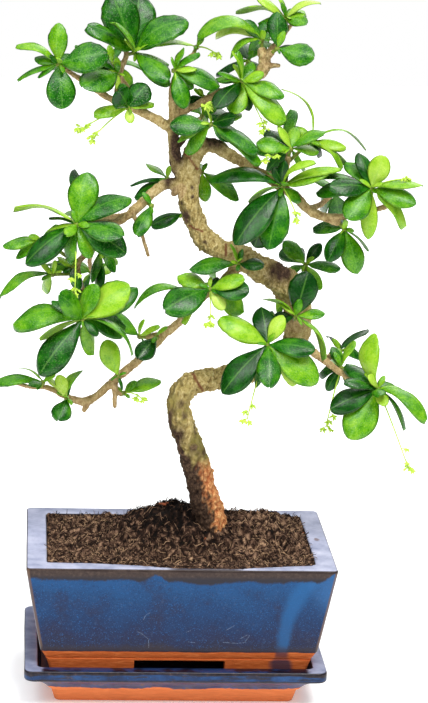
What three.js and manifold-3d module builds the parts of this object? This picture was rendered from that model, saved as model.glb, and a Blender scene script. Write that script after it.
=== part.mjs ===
// A fukien tea bonsai in a blue glazed pot that stands in its drip tray.
// Millimetres, +Z up. The origin is the middle of the tray's underside, X runs along the pot's long
// side and Y points away from the side that is seen from the front.
import * as THREE from 'three';
import { mergeVertices } from 'three/addons/utils/BufferGeometryUtils.js';
import Module from 'manifold-3d';

const wasm = await Module();
wasm.setup();

// Driving dimensions of the drip tray
const TRAY_HALF_WIDTH = 98;
const TRAY_HALF_DEPTH = 65;
const TRAY_HEIGHT = 27;
const TRAY_FLOOR = 20;
const TRAY_CENTRE_X = -2;

// Driving dimensions of the pot
const POT_HALF_WIDTH = 100;
const POT_HALF_DEPTH = 67;
const POT_TOP = 97;
const POT_WALL = 13.7;
const GLAZE_BOTTOM = 38;
const GLAZE_INSET = 10.5;
const FOOT_HEIGHT = 10.5;
const FOOT_INSET = 17.5;
const FOOT_WALL = 12;
const POT_FLOOR = 39;
const CAVITY_FLOOR_INSET = 21;
const FRONT_FOOT_GAP = 59;
const END_FOOT_GAP = 40;
const DRAIN_RADIUS = 7;
const DRAIN_X = 40;

// Driving dimensions of the soil and of the clearances
const CLEARANCE = 0.3;
const WOOD_CLEARANCE = 0.35;
const SOIL_LEVEL = 94;

// Driving dimensions of the leaves and of the green shoots and flower stalks
const PETIOLE = 0.08;
const LEAF_THICKNESS = 1.3;
const SMALL_LEAF = 23;
const LARGE_LEAF = 38;
const DEFAULT_BEND = 0.1;
const FOLD = 0.16;
const TOOTHED_SHARE = 0.35;
const GOLDEN_ANGLE = 2.39996;
const SHOOT_RADIUS = 1.5;
const KNOB_RADIUS = 2.5;
const STALK_RADIUS = 0.7;
const BUD_RADIUS = 1.9;

// How clear leaves stay: of other sprays, of leaves of their own spray, and of the bark
const SPRAY_GAP = 3;
const OWN_GAP = 2;
const HAND_TRIES = [[1, OWN_GAP], [0.85, OWN_GAP], [1, 0], [0.85, 0]];
const SPARE_TRIES = [[1, OWN_GAP]];
const WOOD_GAP = 1.6;
const ROOT_SHARE = 0.35;
const LEANS = [0, 8, -8, 16, -16, 24, -24, 32, -32, 40, -40, 50, -50];
const PROBES_ALONG = 14;
const PROBES_ACROSS = 3;
const CELL = 4;

// The direction that the tree is seen from: the leaves' reaches are given right, up and toward
const VIEW_YAW = THREE.MathUtils.degToRad(4.3);
const VIEW_PITCH = THREE.MathUtils.degToRad(13.4);
const VIEW_ROLL = THREE.MathUtils.degToRad(1.9);

// The wood, each limb a list of [x, y, z, radius] along its middle
const LIMBS = {
  trunk: [[25, 0, 73, 8], [24, 0, 91, 9.4], [22.5, 0, 107, 10.2], [16, -1, 128, 9.3],
    [10.5, -2, 147, 8.7], [4, -4, 167, 9], [0, -5, 176, 8.2], [-2, -6, 186, 7.7], [-2, -6, 195, 7.6],
    [3, -5, 202, 7.5], [11, -2, 205, 7.5], [26, 2, 206, 7.4], [41, 6, 209, 7.5], [55, 9, 212, 7.6],
    [67, 11, 218, 7.8], [74, 11, 229, 8], [75, 9, 243, 8.2], [73, 6, 256, 8.8], [66, 3, 269, 9.4],
    [51, 1, 278, 8.5], [35, 0, 287, 7.4], [20, 0, 293, 7], [11, 0, 299, 7], [6, 0, 308, 6.8],
    [1, 0, 321, 6.3], [0, 0, 332, 6.6], [0, 0, 342, 6.9], [2, -1, 351, 6.2], [4, -2, 358, 5.8],
    [5, -3, 365, 4.6]],
  left_leader: [[-2, 0, 337, 5], [-8, -2, 347, 4.4], [-10, -3, 358, 4], [-11, -4, 369, 4],
    [-11, -4, 381, 3.2], [-12, -5, 389, 2.6], [-12, -6, 398, 1.9], [-10, -7, 406, 1.6],
    [-5, -4, 413, 1.5], [1, 2, 418, 1.2]],
  right_branch: [[4, -2, 356, 5], [10, -2, 360, 4.6], [17, -2, 359, 4.2], [26, -3, 354, 3.6],
    [37, -4, 348, 3.3], [49, -6, 341, 3.2], [61, -9, 334, 3.2], [69, -8, 328, 3.3], [76, -7, 321, 3.3],
    [86, -6, 316, 2.8], [100, -10, 317, 2], [115, -14, 321, 1.8], [127, -18, 326, 1.6]],
  right_stub: [[86, -6, 316, 2.2], [97, -6, 312, 2.2]],
  right_shoot: [[61, -9, 334, 2.2], [61, -12, 345, 2], [62, -15, 356, 1.6]],
  right_spur: [[108, -12, 319, 1.7], [113, -17, 327, 1.6], [115, -20, 333, 1.5]],
  top_left: [[-11, -4, 370, 3.6], [-16, -6, 373, 3.3], [-23, -8, 377, 3.1], [-31, -10, 381, 2.9],
    [-39, -11, 385, 2.5], [-48, -13, 388, 2.2], [-57, -16, 393, 2], [-70, -20, 402, 1.7],
    [-81, -23, 409, 1.5]],
  top_left_spur: [[-48, -13, 388, 2], [-47, -8, 398, 1.9], [-45, -4, 408, 1.9], [-42, 0, 416, 1.7],
    [-44, 3, 423, 1.5], [-54, 8, 428, 1.2]],
  top_right: [[-11, -4, 380, 2.8], [-2, -4, 383, 2.4], [9, -4, 389, 2.3], [18, -4, 394, 2.3],
    [29, -4, 398, 2.6], [37, -2, 402, 3], [45, 1, 408, 3.7], [46, 2, 415, 3.9], [44, 3, 421, 2.6]],
  top_right_fork: [[46, 2, 414, 2.4], [50, -4, 420, 2]],
  top_right_stub: [[46, 1, 411, 2], [55, -3, 412, 1.5]],
  top_right_twig: [[46, 2, 416, 2.2], [56, 10, 427, 1.6], [65, 15, 438, 1.3]],
  left_branch: [[-2, 0, 334, 4.2], [-8, -1, 334, 4], [-15, -3, 334, 3.6], [-22, -6, 330, 3.2],
    [-31, -11, 322, 3], [-39, -16, 316, 2.7], [-47, -20, 312, 2.3], [-58, -25, 313, 1.8],
    [-67, -28, 312, 1.5]],
  left_knob: [[-6, -2, 332, 2.6], [-10, -4, 328, 2]],
  left_hanger: [[-36, -15, 317, 1.6], [-30, -13, 304, 1.2], [-25, -11, 289, 1.2]],
  left_down: [[-47, -20, 312, 1.9], [-54, -14, 302, 2], [-60, -10, 294, 2], [-70, -12, 283, 1.9],
    [-68, -18, 271, 1.8], [-66, -26, 260, 2], [-69, -32, 250, 1.9], [-69, -33, 241, 1.5]],
  low_left: [[36, 0, 284, 4], [27, -6, 276, 2.6], [17, -12, 267, 2.6], [7, -8, 259, 2.3],
    [-4, -4, 244, 2.4], [-14, -3, 235, 3.4], [-28, -5, 220, 2.6], [-44, -6, 206, 2.6],
    [-61, -8, 192, 2.6], [-70, -10, 193, 2.2], [-78, -12, 197, 1.9], [-89, -18, 203, 1.7],
    [-99, -21, 204, 1.5], [-109, -23, 207, 1.2]],
  low_left_end: [[-61, -8, 192, 2.2], [-64, -8, 185, 1.5]],
  low_left_stub: [[-44, -6, 206, 2.2], [-44, -6, 198, 1.8], [-44, -5, 187, 1.3]],
  low_left_stub_b: [[-45, -6, 200, 1.6], [-40, -3, 195, 1.4]],
  low_left_side: [[-14, -3, 235, 2.6], [-21, -2, 234, 2.2], [-24, -1, 233, 1.7]],
  low_right: [[74, 10, 237, 4], [81, 6, 227, 2.8], [90, 2, 221, 2.4], [102, -4, 213, 2.1],
    [110, -12, 209, 1.9], [122, -22, 202, 1.6]],
  mid_right_up: [[73, 6, 256, 4], [75, 10, 267, 2.2], [79, 13, 275, 1.6]],
  mid_right_spur: [[75, 9, 243, 3], [71, -7, 248, 1.8]],
  low_front_spur: [[65, 8, 219, 4], [58, -14, 229, 2.6], [53, -26, 234, 1.8]],
  back_left: [[-39, -16, 316, 2.2], [-50, 4, 311, 1.7], [-62, 20, 309, 1.4]],
  back_left_low: [[-60, -10, 294, 1.8], [-62, 8, 281, 1.5], [-60, 20, 271, 1.3]],
  back_crown_left: [[-31, -10, 381, 2.2], [-40, 14, 393, 1.8], [-48, 32, 403, 1.4]],
  back_crown_mid: [[-10, -3, 358, 2.8], [2, 16, 367, 2], [8, 27, 372, 1.5]],
  back_crown_right: [[29, -4, 398, 2.2], [34, 16, 401, 1.8], [37, 30, 407, 1.4]],
  back_middle: [[20, 0, 293, 4], [22, 14, 287, 2], [22, 25, 281, 1.5]],
  back_right: [[49, -6, 341, 2.4], [64, 14, 345, 1.9], [66, 28, 351, 1.4]],
  back_right_far: [[76, -7, 321, 2.4], [86, 12, 320, 1.9], [95, 25, 324, 1.4]],
  back_low: [[74, 11, 229, 4], [70, 26, 233, 2.2], [66, 38, 237, 1.6]],
  back_low_right: [[90, 2, 221, 2], [98, 12, 219, 1.7], [104, 20, 220, 1.4]],
};

// The sprays. Each has the place of its middle, then its leaves and its hanging flower stalks.
// A leaf is [reach right, reach up, reach toward, turn of its face in degrees, tint, bend, breadth]:
// the tint runs from 0, old and dark, to 1, young and lime, and the bend and the breadth are shares of
// the leaf's length that may be left out.
// A stalk is [right, up, toward] to its flowers. "spare" is how many more leaves fill the far side.
const SPRAYS = {
  left_top: { at: [-71, -30, 312], spare: 0, stalks: [[-1, -40, 3]], leaves: [
    [7, 33, 0, 10, 0.35, 0.1, 0.6], [34, 17, -4, 25, 0.1, 0.16], [31, -8, 6, 25, 0.2, 0.1, 0.6],
    [31, -18, -4, 10, 0.1], [-32, -25, 6, 20, 0.15], [-23, -4, -8, 60, 0.5], [-18, 5, -10, 60, 0.1],
    [-40, 11, -6, 70, 0.65, 0.16], [-6, -7, 14, 0, 0.4], [-5, -24, -4, 40, 0.2], [9, -21, 2, 30, 0.25]] },
  left_edge: { at: [-93, -14, 299], spare: 1, leaves: [[-25, -4, 0, 40, 0.35],
    [-17, -12, -4, 30, 0.35]] },
  left_fork: { at: [-58, -8, 292], spare: 1, leaves: [[-2, -26, 4, 60, 0.3], [-6, -22, 6, 50, 0.15],
    [9, -14, 0, 30, 0.4], [15, -13, -6, 75, 0.6]] },
  left_middle: { at: [-71, -14, 281], spare: 1, leaves: [[-16, 2, 2, 75, 0.2], [-10, 7, 4, 45, 0.8],
    [-7, -5, 6, 20, 0.3], [6, -18, -4, 40, 0.2]] },
  left_outer: { at: [-86, -22, 278], spare: 1, leaves: [[-34, -14, 0, 50, 0.25, 0.22],
    [-8, 8, 4, 30, 0.85], [3, 11, -2, 40, 0.6]] },
  left_low: { at: [-68, -34, 251], spare: 1, leaves: [[30, 22, 6, 10, 0.62, 0.1, 0.6],
    [9, 23, -6, 20, 0.35], [33, 20, -14, 20, 0.2], [-44, -3, 0, 35, 0.28, 0.2], [-19, 12, -4, 40, 0.1],
    [-6, 8, 10, 20, 0.8], [-27, -35, 6, 5, 0.05], [-27, -12, -6, 85, 0.6], [32, -22, -2, 75, 0.3, 0.26],
    [36, -7, -8, 15, 0.15, 0.1, 0.6], [10, -10, 2, 20, 0.05], [-22, 26, 2, 10, 0.3],
    [-6, 26, -4, 30, 0.1]] },
  low_knee: { at: [-26, 0, 233], spare: 0, leaves: [[-22, 15, 2, 15, 0.35], [-15, 5, -3, 70, 0.7],
    [14, 8, 0, 45, 0.55]] },
  low_knee_front: { at: [-18, -8, 235], spare: 0, leaves: [[-11, -14, 12, 0, 0.05, 0.07, 0.62]] },
  low_heart: { at: [-42, -9, 209], spare: 0, leaves: [[-8, 23, 10, 10, 0.65, 0.07, 0.56],
    [3, -9, -2, 60, 0.1]] },
  low_stub: { at: [-39, -1, 195], spare: 0, stalks: [[11, -3, 4]], leaves: [[8, 8, 2, 20, 0.25],
    [24, 8, -2, 35, 0.5]] },
  low_left: { at: [-76, -14, 196], spare: 0, leaves: [[-5, 15, 8, 10, 0.75], [-13, 14, -4, 60, 0.9],
    [2, 11, 2, 45, 0.05], [-5, -14, 8, 0, 0.2, 0.07, 0.8], [10, 18, -4, 50, 0.5, 0.28]] },
  low_left_edge: { at: [-91, -22, 207], spare: 0, leaves: [[-31, 1, 0, 50, 0.4, 0.14],
    [-16, 9, -6, 75, 0.5, 0.18], [-8, -2, 10, 20, 0.15]] },
  middle: { at: [15, -17, 269], spare: 1, stalks: [[0, -21, 4]], leaves: [[-21, 9, -6, 15, 0.5],
    [-32, -15, 8, 15, 0.15, 0.1, 0.62], [-18, -21, -6, 70, 0.7], [9, -13, 4, 10, 0.8],
    [5, 8, -4, 30, 0.05], [25, -1, 8, 10, 0.2, 0.1, 0.62], [23, 8, -4, 20, 0.45]] },
  middle_left: { at: [1, 2, 263], spare: 1, leaves: [[-34, -10, 0, 60, 0.3, 0.3]] },
  middle_right: { at: [33, -12, 285], spare: 1, leaves: [[-32, -4, 4, 30, 0.1], [16, -1, 8, 10, 0.1],
    [-5, 13, -2, 70, 0.5], [2, 9, -4, 40, 0.15]] },
  right_up: { at: [79, 14, 278], spare: 1, leaves: [[-14, 16, -4, 0, 0.45], [10, 14, 0, 0, 0.1],
    [23, -2, 0, 25, 0.15], [-13, -6, 2, 20, 0.2], [10, -16, -6, 30, 0.4]] },
  right_middle: { at: [71, -12, 251], spare: 1, leaves: [[8, 29, 4, 0, 0.12, 0.07, 0.64],
    [19, 2, 0, 35, 0.5], [-21, 11, -4, 80, 0.6, 0.2], [-10, 9, -2, 60, 0.7],
    [20, -27, -4, 80, 0.6, 0.2]] },
  right_front: { at: [52, -30, 236], spare: 1, stalks: [[-13, -47, 4]], leaves: [
    [-31, 17, 4, 25, 0.6, 0.12], [-4, 26, -8, 5, 0.05], [10, 19, 2, 15, 0.75], [30, -3, 10, 15, 0.25],
    [32, -24, 4, 5, 0.35], [19, -26, 2, 55, 0.85], [-29, -31, 6, 15, 0.08], [-8, -27, 0, 55, 0.1],
    [1, -31, 4, 10, 0.12], [-9, 4, -8, 20, 0.1]] },
  right_twig: { at: [103, 0, 214], spare: 1, stalks: [[-10, -38, 4]], leaves: [[-6, 14, 0, 20, 0.05],
    [-1, 17, -6, 50, 0.4], [9, 18, -8, 60, 0.6], [-9, -14, 6, 10, 0.15], [-21, -6, -4, 20, 0.1]] },
  right_end: { at: [125, -25, 207], spare: 1, stalks: [[19, -50, 4]], leaves: [
    [-3, 36, -2, -55, 0.6, 0.22], [-23, 19, -4, 35, 0.25], [-25, 6, -2, 45, 0.05],
    [-31, -13, 4, 10, 0.12], [-19, -32, 6, 0, 0.3, 0.07, 0.6], [21, -5, -6, 60, 0.45, 0.2],
    [32, -20, -8, 50, 0.4, 0.22], [18, -26, 0, 75, 0.3, 0.15], [5, -13, 8, 0, 0.8], [-7, 10, 6, 30, 0.9],
    [0, -4, 17, 0, 0.35]] },
  upper_right: { at: [63, -18, 361], spare: 1, stalks: [[-14, -6, 6]], leaves: [
    [-22, 3, 6, 15, 0.4, 0.1, 0.6], [-8, 15, 4, 40, 0.7], [4, 17, -2, 0, 0.35],
    [22, 11, -2, 35, 0.4, 0.15], [18, -1, -8, 30, 0.4], [-18, 15, -8, 30, 0.1], [-29, 12, -6, 20, 0.5]] },
  upper_right_back: { at: [78, 8, 362], spare: 1, leaves: [[36, -5, -2, 70, 0.5, 0.3, 0.36],
    [23, -4, 4, 30, 0.6], [24, -13, -2, 75, 0.5], [21, -17, 4, 60, 0.6, 0.2],
    [-18, 34, -2, 80, 0.65, 0.28, 0.3], [8, -4, 8, 30, 0.6], [15, -15, 0, 20, 0.1]] },
  upper_node: { at: [59, -16, 336], spare: 1, stalks: [[9, -19, 6]], leaves: [
    [-47, 5, -2, 35, 0.2, 0.2, 0.34], [-22, -9, 0, 85, 0.4, 0.16], [-31, -38, 4, 15, 0.12, 0.1, 0.44],
    [-9, -40, 6, 5, 0.25], [-18, -38, -4, 10, 0.05], [-6, 13, -2, 20, 0.05], [1, 18, 2, 30, 0.05],
    [37, 12, 2, 60, 0.6, 0.15], [24, 19, 2, 55, 0.7, 0.22, 0.36], [30, 10, 6, 50, 0.5],
    [12, -9, -4, 10, 0.5], [-9, 9, -6, 80, 0.4]] },
  far_right: { at: [115, -22, 337], spare: 1, stalks: [[21, 6, 4]], leaves: [[-8, 23, -2, 20, 0.15],
    [8, 22, 0, 0, 0.85, 0.07, 0.62], [-43, 12, -6, 60, 0.15, 0.1], [-16, -20, 12, 0, 0.3, 0.07, 0.62],
    [28, -10, 6, 10, 0.35], [32, 2, -6, 50, 0.4, 0.12], [14, 6, 4, 50, 0.7], [23, -24, -2, 50, 0.5, 0.16],
    [-2, -32, -4, 20, 0.55, 0.07, 0.36], [-30, 0, 0, 20, 0.1], [-36, -2, -6, 30, 0.25],
    [-17, 19, 4, 20, 0.3]] },
  far_right_low: { at: [101, -6, 308], spare: 1, leaves: [[-26, 2, 4, 20, 0.15], [-20, 5, -4, 50, 0.1],
    [-10, 11, 0, 0, 0.1], [-11, -21, 4, 0, 0.25], [9, -29, 0, 5, 0.35], [16, -14, -4, 80, 0.4]] },
  crown_left: { at: [-85, -25, 412], spare: 1, leaves: [[-26, 12, 0, 50, 0.35, 0.2],
    [-15, 5, -6, 20, 0.4], [-5, 5, 6, 30, 0.1], [-28, -9, -2, 50, 0.35], [-13, -8, 2, 40, 0.3],
    [3, -28, 4, 5, 0.12, 0.1, 0.66], [31, 6, 8, 5, 0.12, 0.1, 0.64], [0, 25, -6, 20, 0.35],
    [-5, 16, 0, 70, 0.6], [12, 23, -8, 20, 0.3]] },
  crown_spur: { at: [-47, -10, 405], spare: 1, leaves: [[-28, -15, 13, 10, 0.2, 0.1, 0.6],
    [-25, 4, -4, 20, 0.02], [0, -10, 4, 50, 0.8], [-1, 10, 4, 30, 0.6], [-27, 18, -2, 50, 0.3]] },
  crown_top: { at: [-38, 0, 417], spare: 1, leaves: [[-14, 37, 0, 0, 0.1, 0.1, 0.62],
    [3, 39, -2, 0, 0.12, 0.07, 0.62], [-22, 31, 8, 60, 0.42], [12, 7, 8, 45, 0.5],
    [34, 20, -4, 20, 0.2, 0.2, 0.6], [24, -20, 0, 30, 0.25, 0.1, 0.6], [24, -21, 6, 20, 0.35],
    [22, -7, -4, 70, 0.5], [14, -16, -4, 70, 0.1], [-33, 17, -6, 40, 0.3], [-8, 9, -6, 40, 0.4]] },
  crown_low: { at: [-41, -16, 385], spare: 1, stalks: [[-28, -13, 4], [-22, -19, 2]], leaves: [
    [-8, 14, 12, 0, 0.2, 0.07, 0.8], [-4, 16, -2, 10, 0.1], [12, 15, 2, 0, 0.03, 0.07, 0.85],
    [18, 4, 0, 25, 0.5], [-22, -5, 0, 25, 0.5], [2, -10, 6, 10, 0.85]] },
  crown_middle: { at: [-11, -9, 407], spare: 1, leaves: [[-17, 17, 0, 20, 0.1], [-3, 14, 4, 60, 0.4],
    [6, 15, -4, 50, 0.4], [16, 12, 2, 40, 0.42], [14, 1, 4, 30, 0.55], [7, -24, 4, 5, 0.3],
    [13, -11, -4, 20, 0.35], [29, -9, -6, 20, 0.25], [-6, 10, -8, 30, 0.2]] },
  crown_twig: { at: [2, 4, 420], spare: 0, stalks: [[12, -4, 3]], leaves: [[-30, 2, 12, 60, 0.6, 0.12],
    [4, 8, 0, 40, 0.5]] },
  crown_right: { at: [44, 4, 424], spare: 1, leaves: [[-11, 12, 4, 10, 0.1], [2, 13, 0, 10, 0.2],
    [2, 7, 6, 20, 0.5], [-20, -12, 4, 50, 0.4, 0.3], [-42, 1, -2, 45, 0.35, 0.34, 0.56],
    [-32, 6, 4, 30, 0.85, 0.32, 0.58]] },
  crown_right_top: { at: [60, 16, 439], spare: 1, leaves: [[-32, 5, -2, 75, 0.5, 0.2],
    [-19, 14, 2, 40, 0.8], [-4, 15, -2, 60, 0.6], [12, 3, 4, 20, 0.4], [22, 11, 0, 50, 0.8, 0.24],
    [18, -6, -2, 20, 0.3], [-10, -10, 12, 0, 0.05, 0.07, 0.75], [-18, -2, 2, 30, 0.35],
    [5, -15, 4, 35, 0.35]] },
  crown_right_front: { at: [52, -6, 422], spare: 1, leaves: [[23, -6, 6, 5, 0.25, 0.07, 0.66],
    [13, 3, -4, 60, 0.02]] },
  crown_right_low: { at: [31, -8, 401], spare: 1, stalks: [[15, -30, 4]], leaves: [
    [-7, 21, -2, 75, 0.5, 0.14], [-2, 20, 4, 60, 0.45], [8, 16, -2, 20, 0.2], [14, 5, 6, 10, 0.5],
    [27, -9, 4, 20, 0.4], [28, -25, -2, 30, 0.5], [-15, 6, 4, 40, 0.35], [-20, 5, -6, 30, 0.2],
    [-14, 0, 0, 60, 0.3], [-5, -21, 8, 0, 0.55, 0.07, 0.62], [-20, -22, 2, 20, 0.1],
    [5, -18, -2, 10, 0.05], [10, -5, 8, 50, 0.5]] },
  heart: { at: [12, -20, 376], spare: 1, stalks: [[-4, 11, 5]], leaves: [
    [-26, -1, 6, 15, 0.05, 0.07, 0.62], [18, 4, 4, 5, 0.05, 0.07, 0.62], [32, -24, 2, 50, 0.35],
    [30, -18, -3, 45, 0.25], [10, -10, 8, 20, 0.02], [36, -8, -8, 45, 0.35], [-17, -17, -14, 30, 0.25],
    [20, 8, -6, 30, 0.35]] },
  heart_top: { at: [8, 2, 390], spare: 0, leaves: [[-8, -2, 8, 0, 0.05], [-6, 5, 4, 30, 0.5],
    [6, 2, 6, 50, 0.05]] },
  crotch: { at: [-13, 12, 335], spare: 0, leaves: [[-14, 10, 0, 50, 0.3, 0.1, 0.6],
    [-24, -4, -2, 55, 0.15], [-21, -12, 4, 45, 0.15]] },
  trunk_side: { at: [-2, 10, 313], spare: 0, leaves: [[-21, -8, 0, 20, 0.15]] },
  branch_under: { at: [-26, -12, 323], spare: 0, leaves: [[-10, -21, 4, 20, 0.25]] },
  trunk_back: { at: [9, 12, 340], spare: 1, leaves: [[3, -19, 0, 20, 0.4], [24, -18, 0, 30, 0.35]] },
  far_left_high: { at: [-64, 22, 310], spare: 4, leaves: [] },
  far_left_low: { at: [-60, 23, 270], spare: 4, leaves: [] },
  far_crown_left: { at: [-49, 35, 405], spare: 4, leaves: [] },
  far_crown_middle: { at: [9, 30, 373], spare: 4, leaves: [] },
  far_crown_right: { at: [38, 33, 409], spare: 4, leaves: [] },
  far_middle: { at: [22, 28, 280], spare: 3, leaves: [] },
  far_upper_right: { at: [67, 31, 353], spare: 4, leaves: [] },
  far_right_back: { at: [97, 28, 325], spare: 4, leaves: [] },
  far_low: { at: [65, 41, 238], spare: 4, leaves: [] },
  far_low_right: { at: [105, 23, 220], spare: 4, leaves: [] },
};

// The colours, one finish for each kind of piece
const FINISH = {
  tray: { color: 0x2c4f82, roughness: 0.25, metalness: 0 },
  pot: { color: 0x2a5a9c, roughness: 0.25, metalness: 0 },
  soil: { color: 0x4a3426, roughness: 1, metalness: 0 },
  wood: { color: 0xa58d62, roughness: 0.85, metalness: 0 },
  leaf: { color: 0x2f7a1c, roughness: 0.4, metalness: 0 },
};

// A solid from the list of its corners and the list of its triangles
function solidFrom(corners, triangles) {
  const mesh = new wasm.Mesh({
    numProp: 3,
    vertProperties: new Float32Array(corners.flat()),
    triVerts: new Uint32Array(triangles.flat()),
  });
  return new wasm.Manifold(mesh);
}

// A solid from a closed three.js geometry
function solidOf(geometry) {
  const bare = geometry.index ? geometry.toNonIndexed() : geometry;
  bare.deleteAttribute('normal');
  bare.deleteAttribute('uv');
  const merged = mergeVertices(bare, 1e-4);
  const mesh = new wasm.Mesh({
    numProp: 3,
    vertProperties: Float32Array.from(merged.attributes.position.array),
    triVerts: Uint32Array.from(merged.index.array),
  });
  return new wasm.Manifold(mesh);
}

// The largest of the separate bodies of a solid, so that no loose scrap stays
function largestBody(solid) {
  const bodies = solid.decompose();
  return bodies.reduce((best, body) => (body.volume() > best.volume() ? body : best));
}

// A named mesh from a solid
function meshOf(name, solid, finish) {
  const { vertProperties, triVerts } = solid.getMesh();
  const geometry = new THREE.BufferGeometry();
  geometry.setAttribute('position', new THREE.BufferAttribute(vertProperties, 3));
  geometry.setIndex(new THREE.BufferAttribute(triVerts, 1));
  geometry.computeVertexNormals();
  const mesh = new THREE.Mesh(geometry, new THREE.MeshStandardMaterial(FINISH[finish]));
  mesh.name = name;
  return mesh;
}

// Closes a stack of rings, each a list of as many corners, with a flat fan at both ends
function solidOfRings(rings) {
  const count = rings[0].length;
  const corners = rings.flat();
  const triangles = [];
  for (let k = 0; k + 1 < rings.length; k += 1) {
    for (let i = 0; i < count; i += 1) {
      const j = (i + 1) % count;
      const [a, b] = [k * count + i, k * count + j];
      triangles.push([a, b, b + count], [a, b + count, a + count]);
    }
  }
  const last = (rings.length - 1) * count;
  for (let i = 1; i + 1 < count; i += 1) {
    triangles.push([0, i + 1, i], [last, last + i, last + i + 1]);
  }
  return solidFrom(corners, triangles);
}

// A stack of rounded rectangles: each step is [inset from the half sizes, height, corner radius]
function steppedBox(halfWidth, halfDepth, centreX, steps) {
  const CORNER_STEPS = 2;
  const rings = steps.map(([inset, z, radius]) => {
    const ring = [];
    for (let quarter = 0; quarter < 4; quarter += 1) {
      const signX = quarter === 0 || quarter === 3 ? 1 : -1;
      const signY = quarter < 2 ? 1 : -1;
      for (let step = 0; step <= CORNER_STEPS; step += 1) {
        const angle = (quarter + step / CORNER_STEPS) * Math.PI / 2;
        ring.push([
          centreX + signX * (halfWidth - inset - radius) + radius * Math.cos(angle),
          signY * (halfDepth - inset - radius) + radius * Math.sin(angle),
          z,
        ]);
      }
    }
    return ring;
  });
  return solidOfRings(rings);
}

function box(width, depth, height, x, y, z) {
  return solidOf(new THREE.BoxGeometry(width, depth, height).translate(x, y, z));
}

function uprightCylinder(radius, height, x, y, z, sides) {
  const column = new THREE.CylinderGeometry(radius, radius, height, sides);
  return solidOf(column.rotateX(Math.PI / 2).translate(x, y, z));
}

// Drip tray: foot, cove, upright lip with a flat top, and the low well that the pot stands in
function makeTray() {
  return steppedBox(TRAY_HALF_WIDTH, TRAY_HALF_DEPTH, TRAY_CENTRE_X, [
    [20, 0, 4], [17.5, 8.6, 4], [15.5, 9.4, 5], [14, 12, 5], [8.5, 16.4, 6], [3.5, 19, 6], [0.8, 19.7, 6],
    [0, 20.6, 6], [0, 26, 6], [0.9, TRAY_HEIGHT, 6], [8.2, TRAY_HEIGHT, 4], [9, TRAY_HEIGHT - 0.7, 4],
    [11.2, TRAY_FLOOR, 3],
  ]);
}

// The pot's cavity, drawn in by a clearance for the soil that fills it
function potCavity(clearance, top) {
  return [
    [CAVITY_FLOOR_INSET + clearance, POT_FLOOR, 3],
    [POT_WALL + clearance, POT_TOP - 0.8, 3],
    ...top.map((z) => [POT_WALL + clearance, z, 3]),
  ];
}

// Pot: feet, clay band, tapered glazed walls, flat rim and cavity, with gaps between the feet
function makePot() {
  const footTop = TRAY_FLOOR + FOOT_HEIGHT;
  const outside = [
    [FOOT_INSET, TRAY_FLOOR, 2], [FOOT_INSET - 3, footTop, 2.5], [FOOT_INSET - 3.6, footTop + 1.1, 2.5],
    [FOOT_INSET - 2.8, footTop + 1.8, 2.5], [FOOT_INSET - 4.2, footTop + 2.6, 3],
    [GLAZE_INSET + 0.5, GLAZE_BOTTOM - 0.5, 3], [GLAZE_INSET, GLAZE_BOTTOM, 3],
    [0.2, POT_TOP - 1.4, 3], [1.2, POT_TOP, 3],
  ];
  const inside = [
    [POT_WALL - 0.9, POT_TOP, 3], [POT_WALL, POT_TOP - 0.8, 3], [CAVITY_FLOOR_INSET, POT_FLOOR, 3],
  ];
  const body = steppedBox(POT_HALF_WIDTH, POT_HALF_DEPTH, 0, [...outside, ...inside]);
  const hollowWidth = 2 * (POT_HALF_WIDTH - FOOT_INSET - FOOT_WALL);
  const hollowDepth = 2 * (POT_HALF_DEPTH - FOOT_INSET - FOOT_WALL);
  const tall = 2 * FOOT_HEIGHT;
  const cuts = [
    box(hollowWidth, hollowDepth, tall, 0, 0, TRAY_FLOOR),
    box(FRONT_FOOT_GAP, 3 * POT_HALF_DEPTH, tall, 0.5, 0, TRAY_FLOOR),
    box(3 * POT_HALF_WIDTH, END_FOOT_GAP, tall, 0, 0, TRAY_FLOOR),
    uprightCylinder(DRAIN_RADIUS, 40, -DRAIN_X, 0, POT_FLOOR - 5, 10),
    uprightCylinder(DRAIN_RADIUS, 40, DRAIN_X, 0, POT_FLOOR - 5, 10),
  ];
  return cuts.reduce((pot, cut) => pot.subtract(cut), body);
}

// The height of the soil: nearly level, heaped behind the trunk's left and lower to its right
function soilHeight(x, y) {
  const edge = Math.min(1, Math.max(0, Math.min(87 - Math.abs(x), 54 - Math.abs(y)) / 20));
  const leftHeap = 22 * Math.exp(-(((x + 6) / 34) ** 2) - ((y - 14) / 26) ** 2);
  const rightHeap = 14 * Math.exp(-(((x - 56) / 34) ** 2) - ((y - 18) / 27) ** 2);
  const collar = 5 * Math.exp(-(((x - 24) / 18) ** 2) - ((y + 2) / 18) ** 2);
  const ripple = 0.8 * Math.sin(x * 0.31 + y * 0.17) + 0.6 * Math.sin(y * 0.43 - x * 0.11);
  return SOIL_LEVEL + edge * (leftHeap + rightHeap + collar) + ripple;
}

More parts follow.
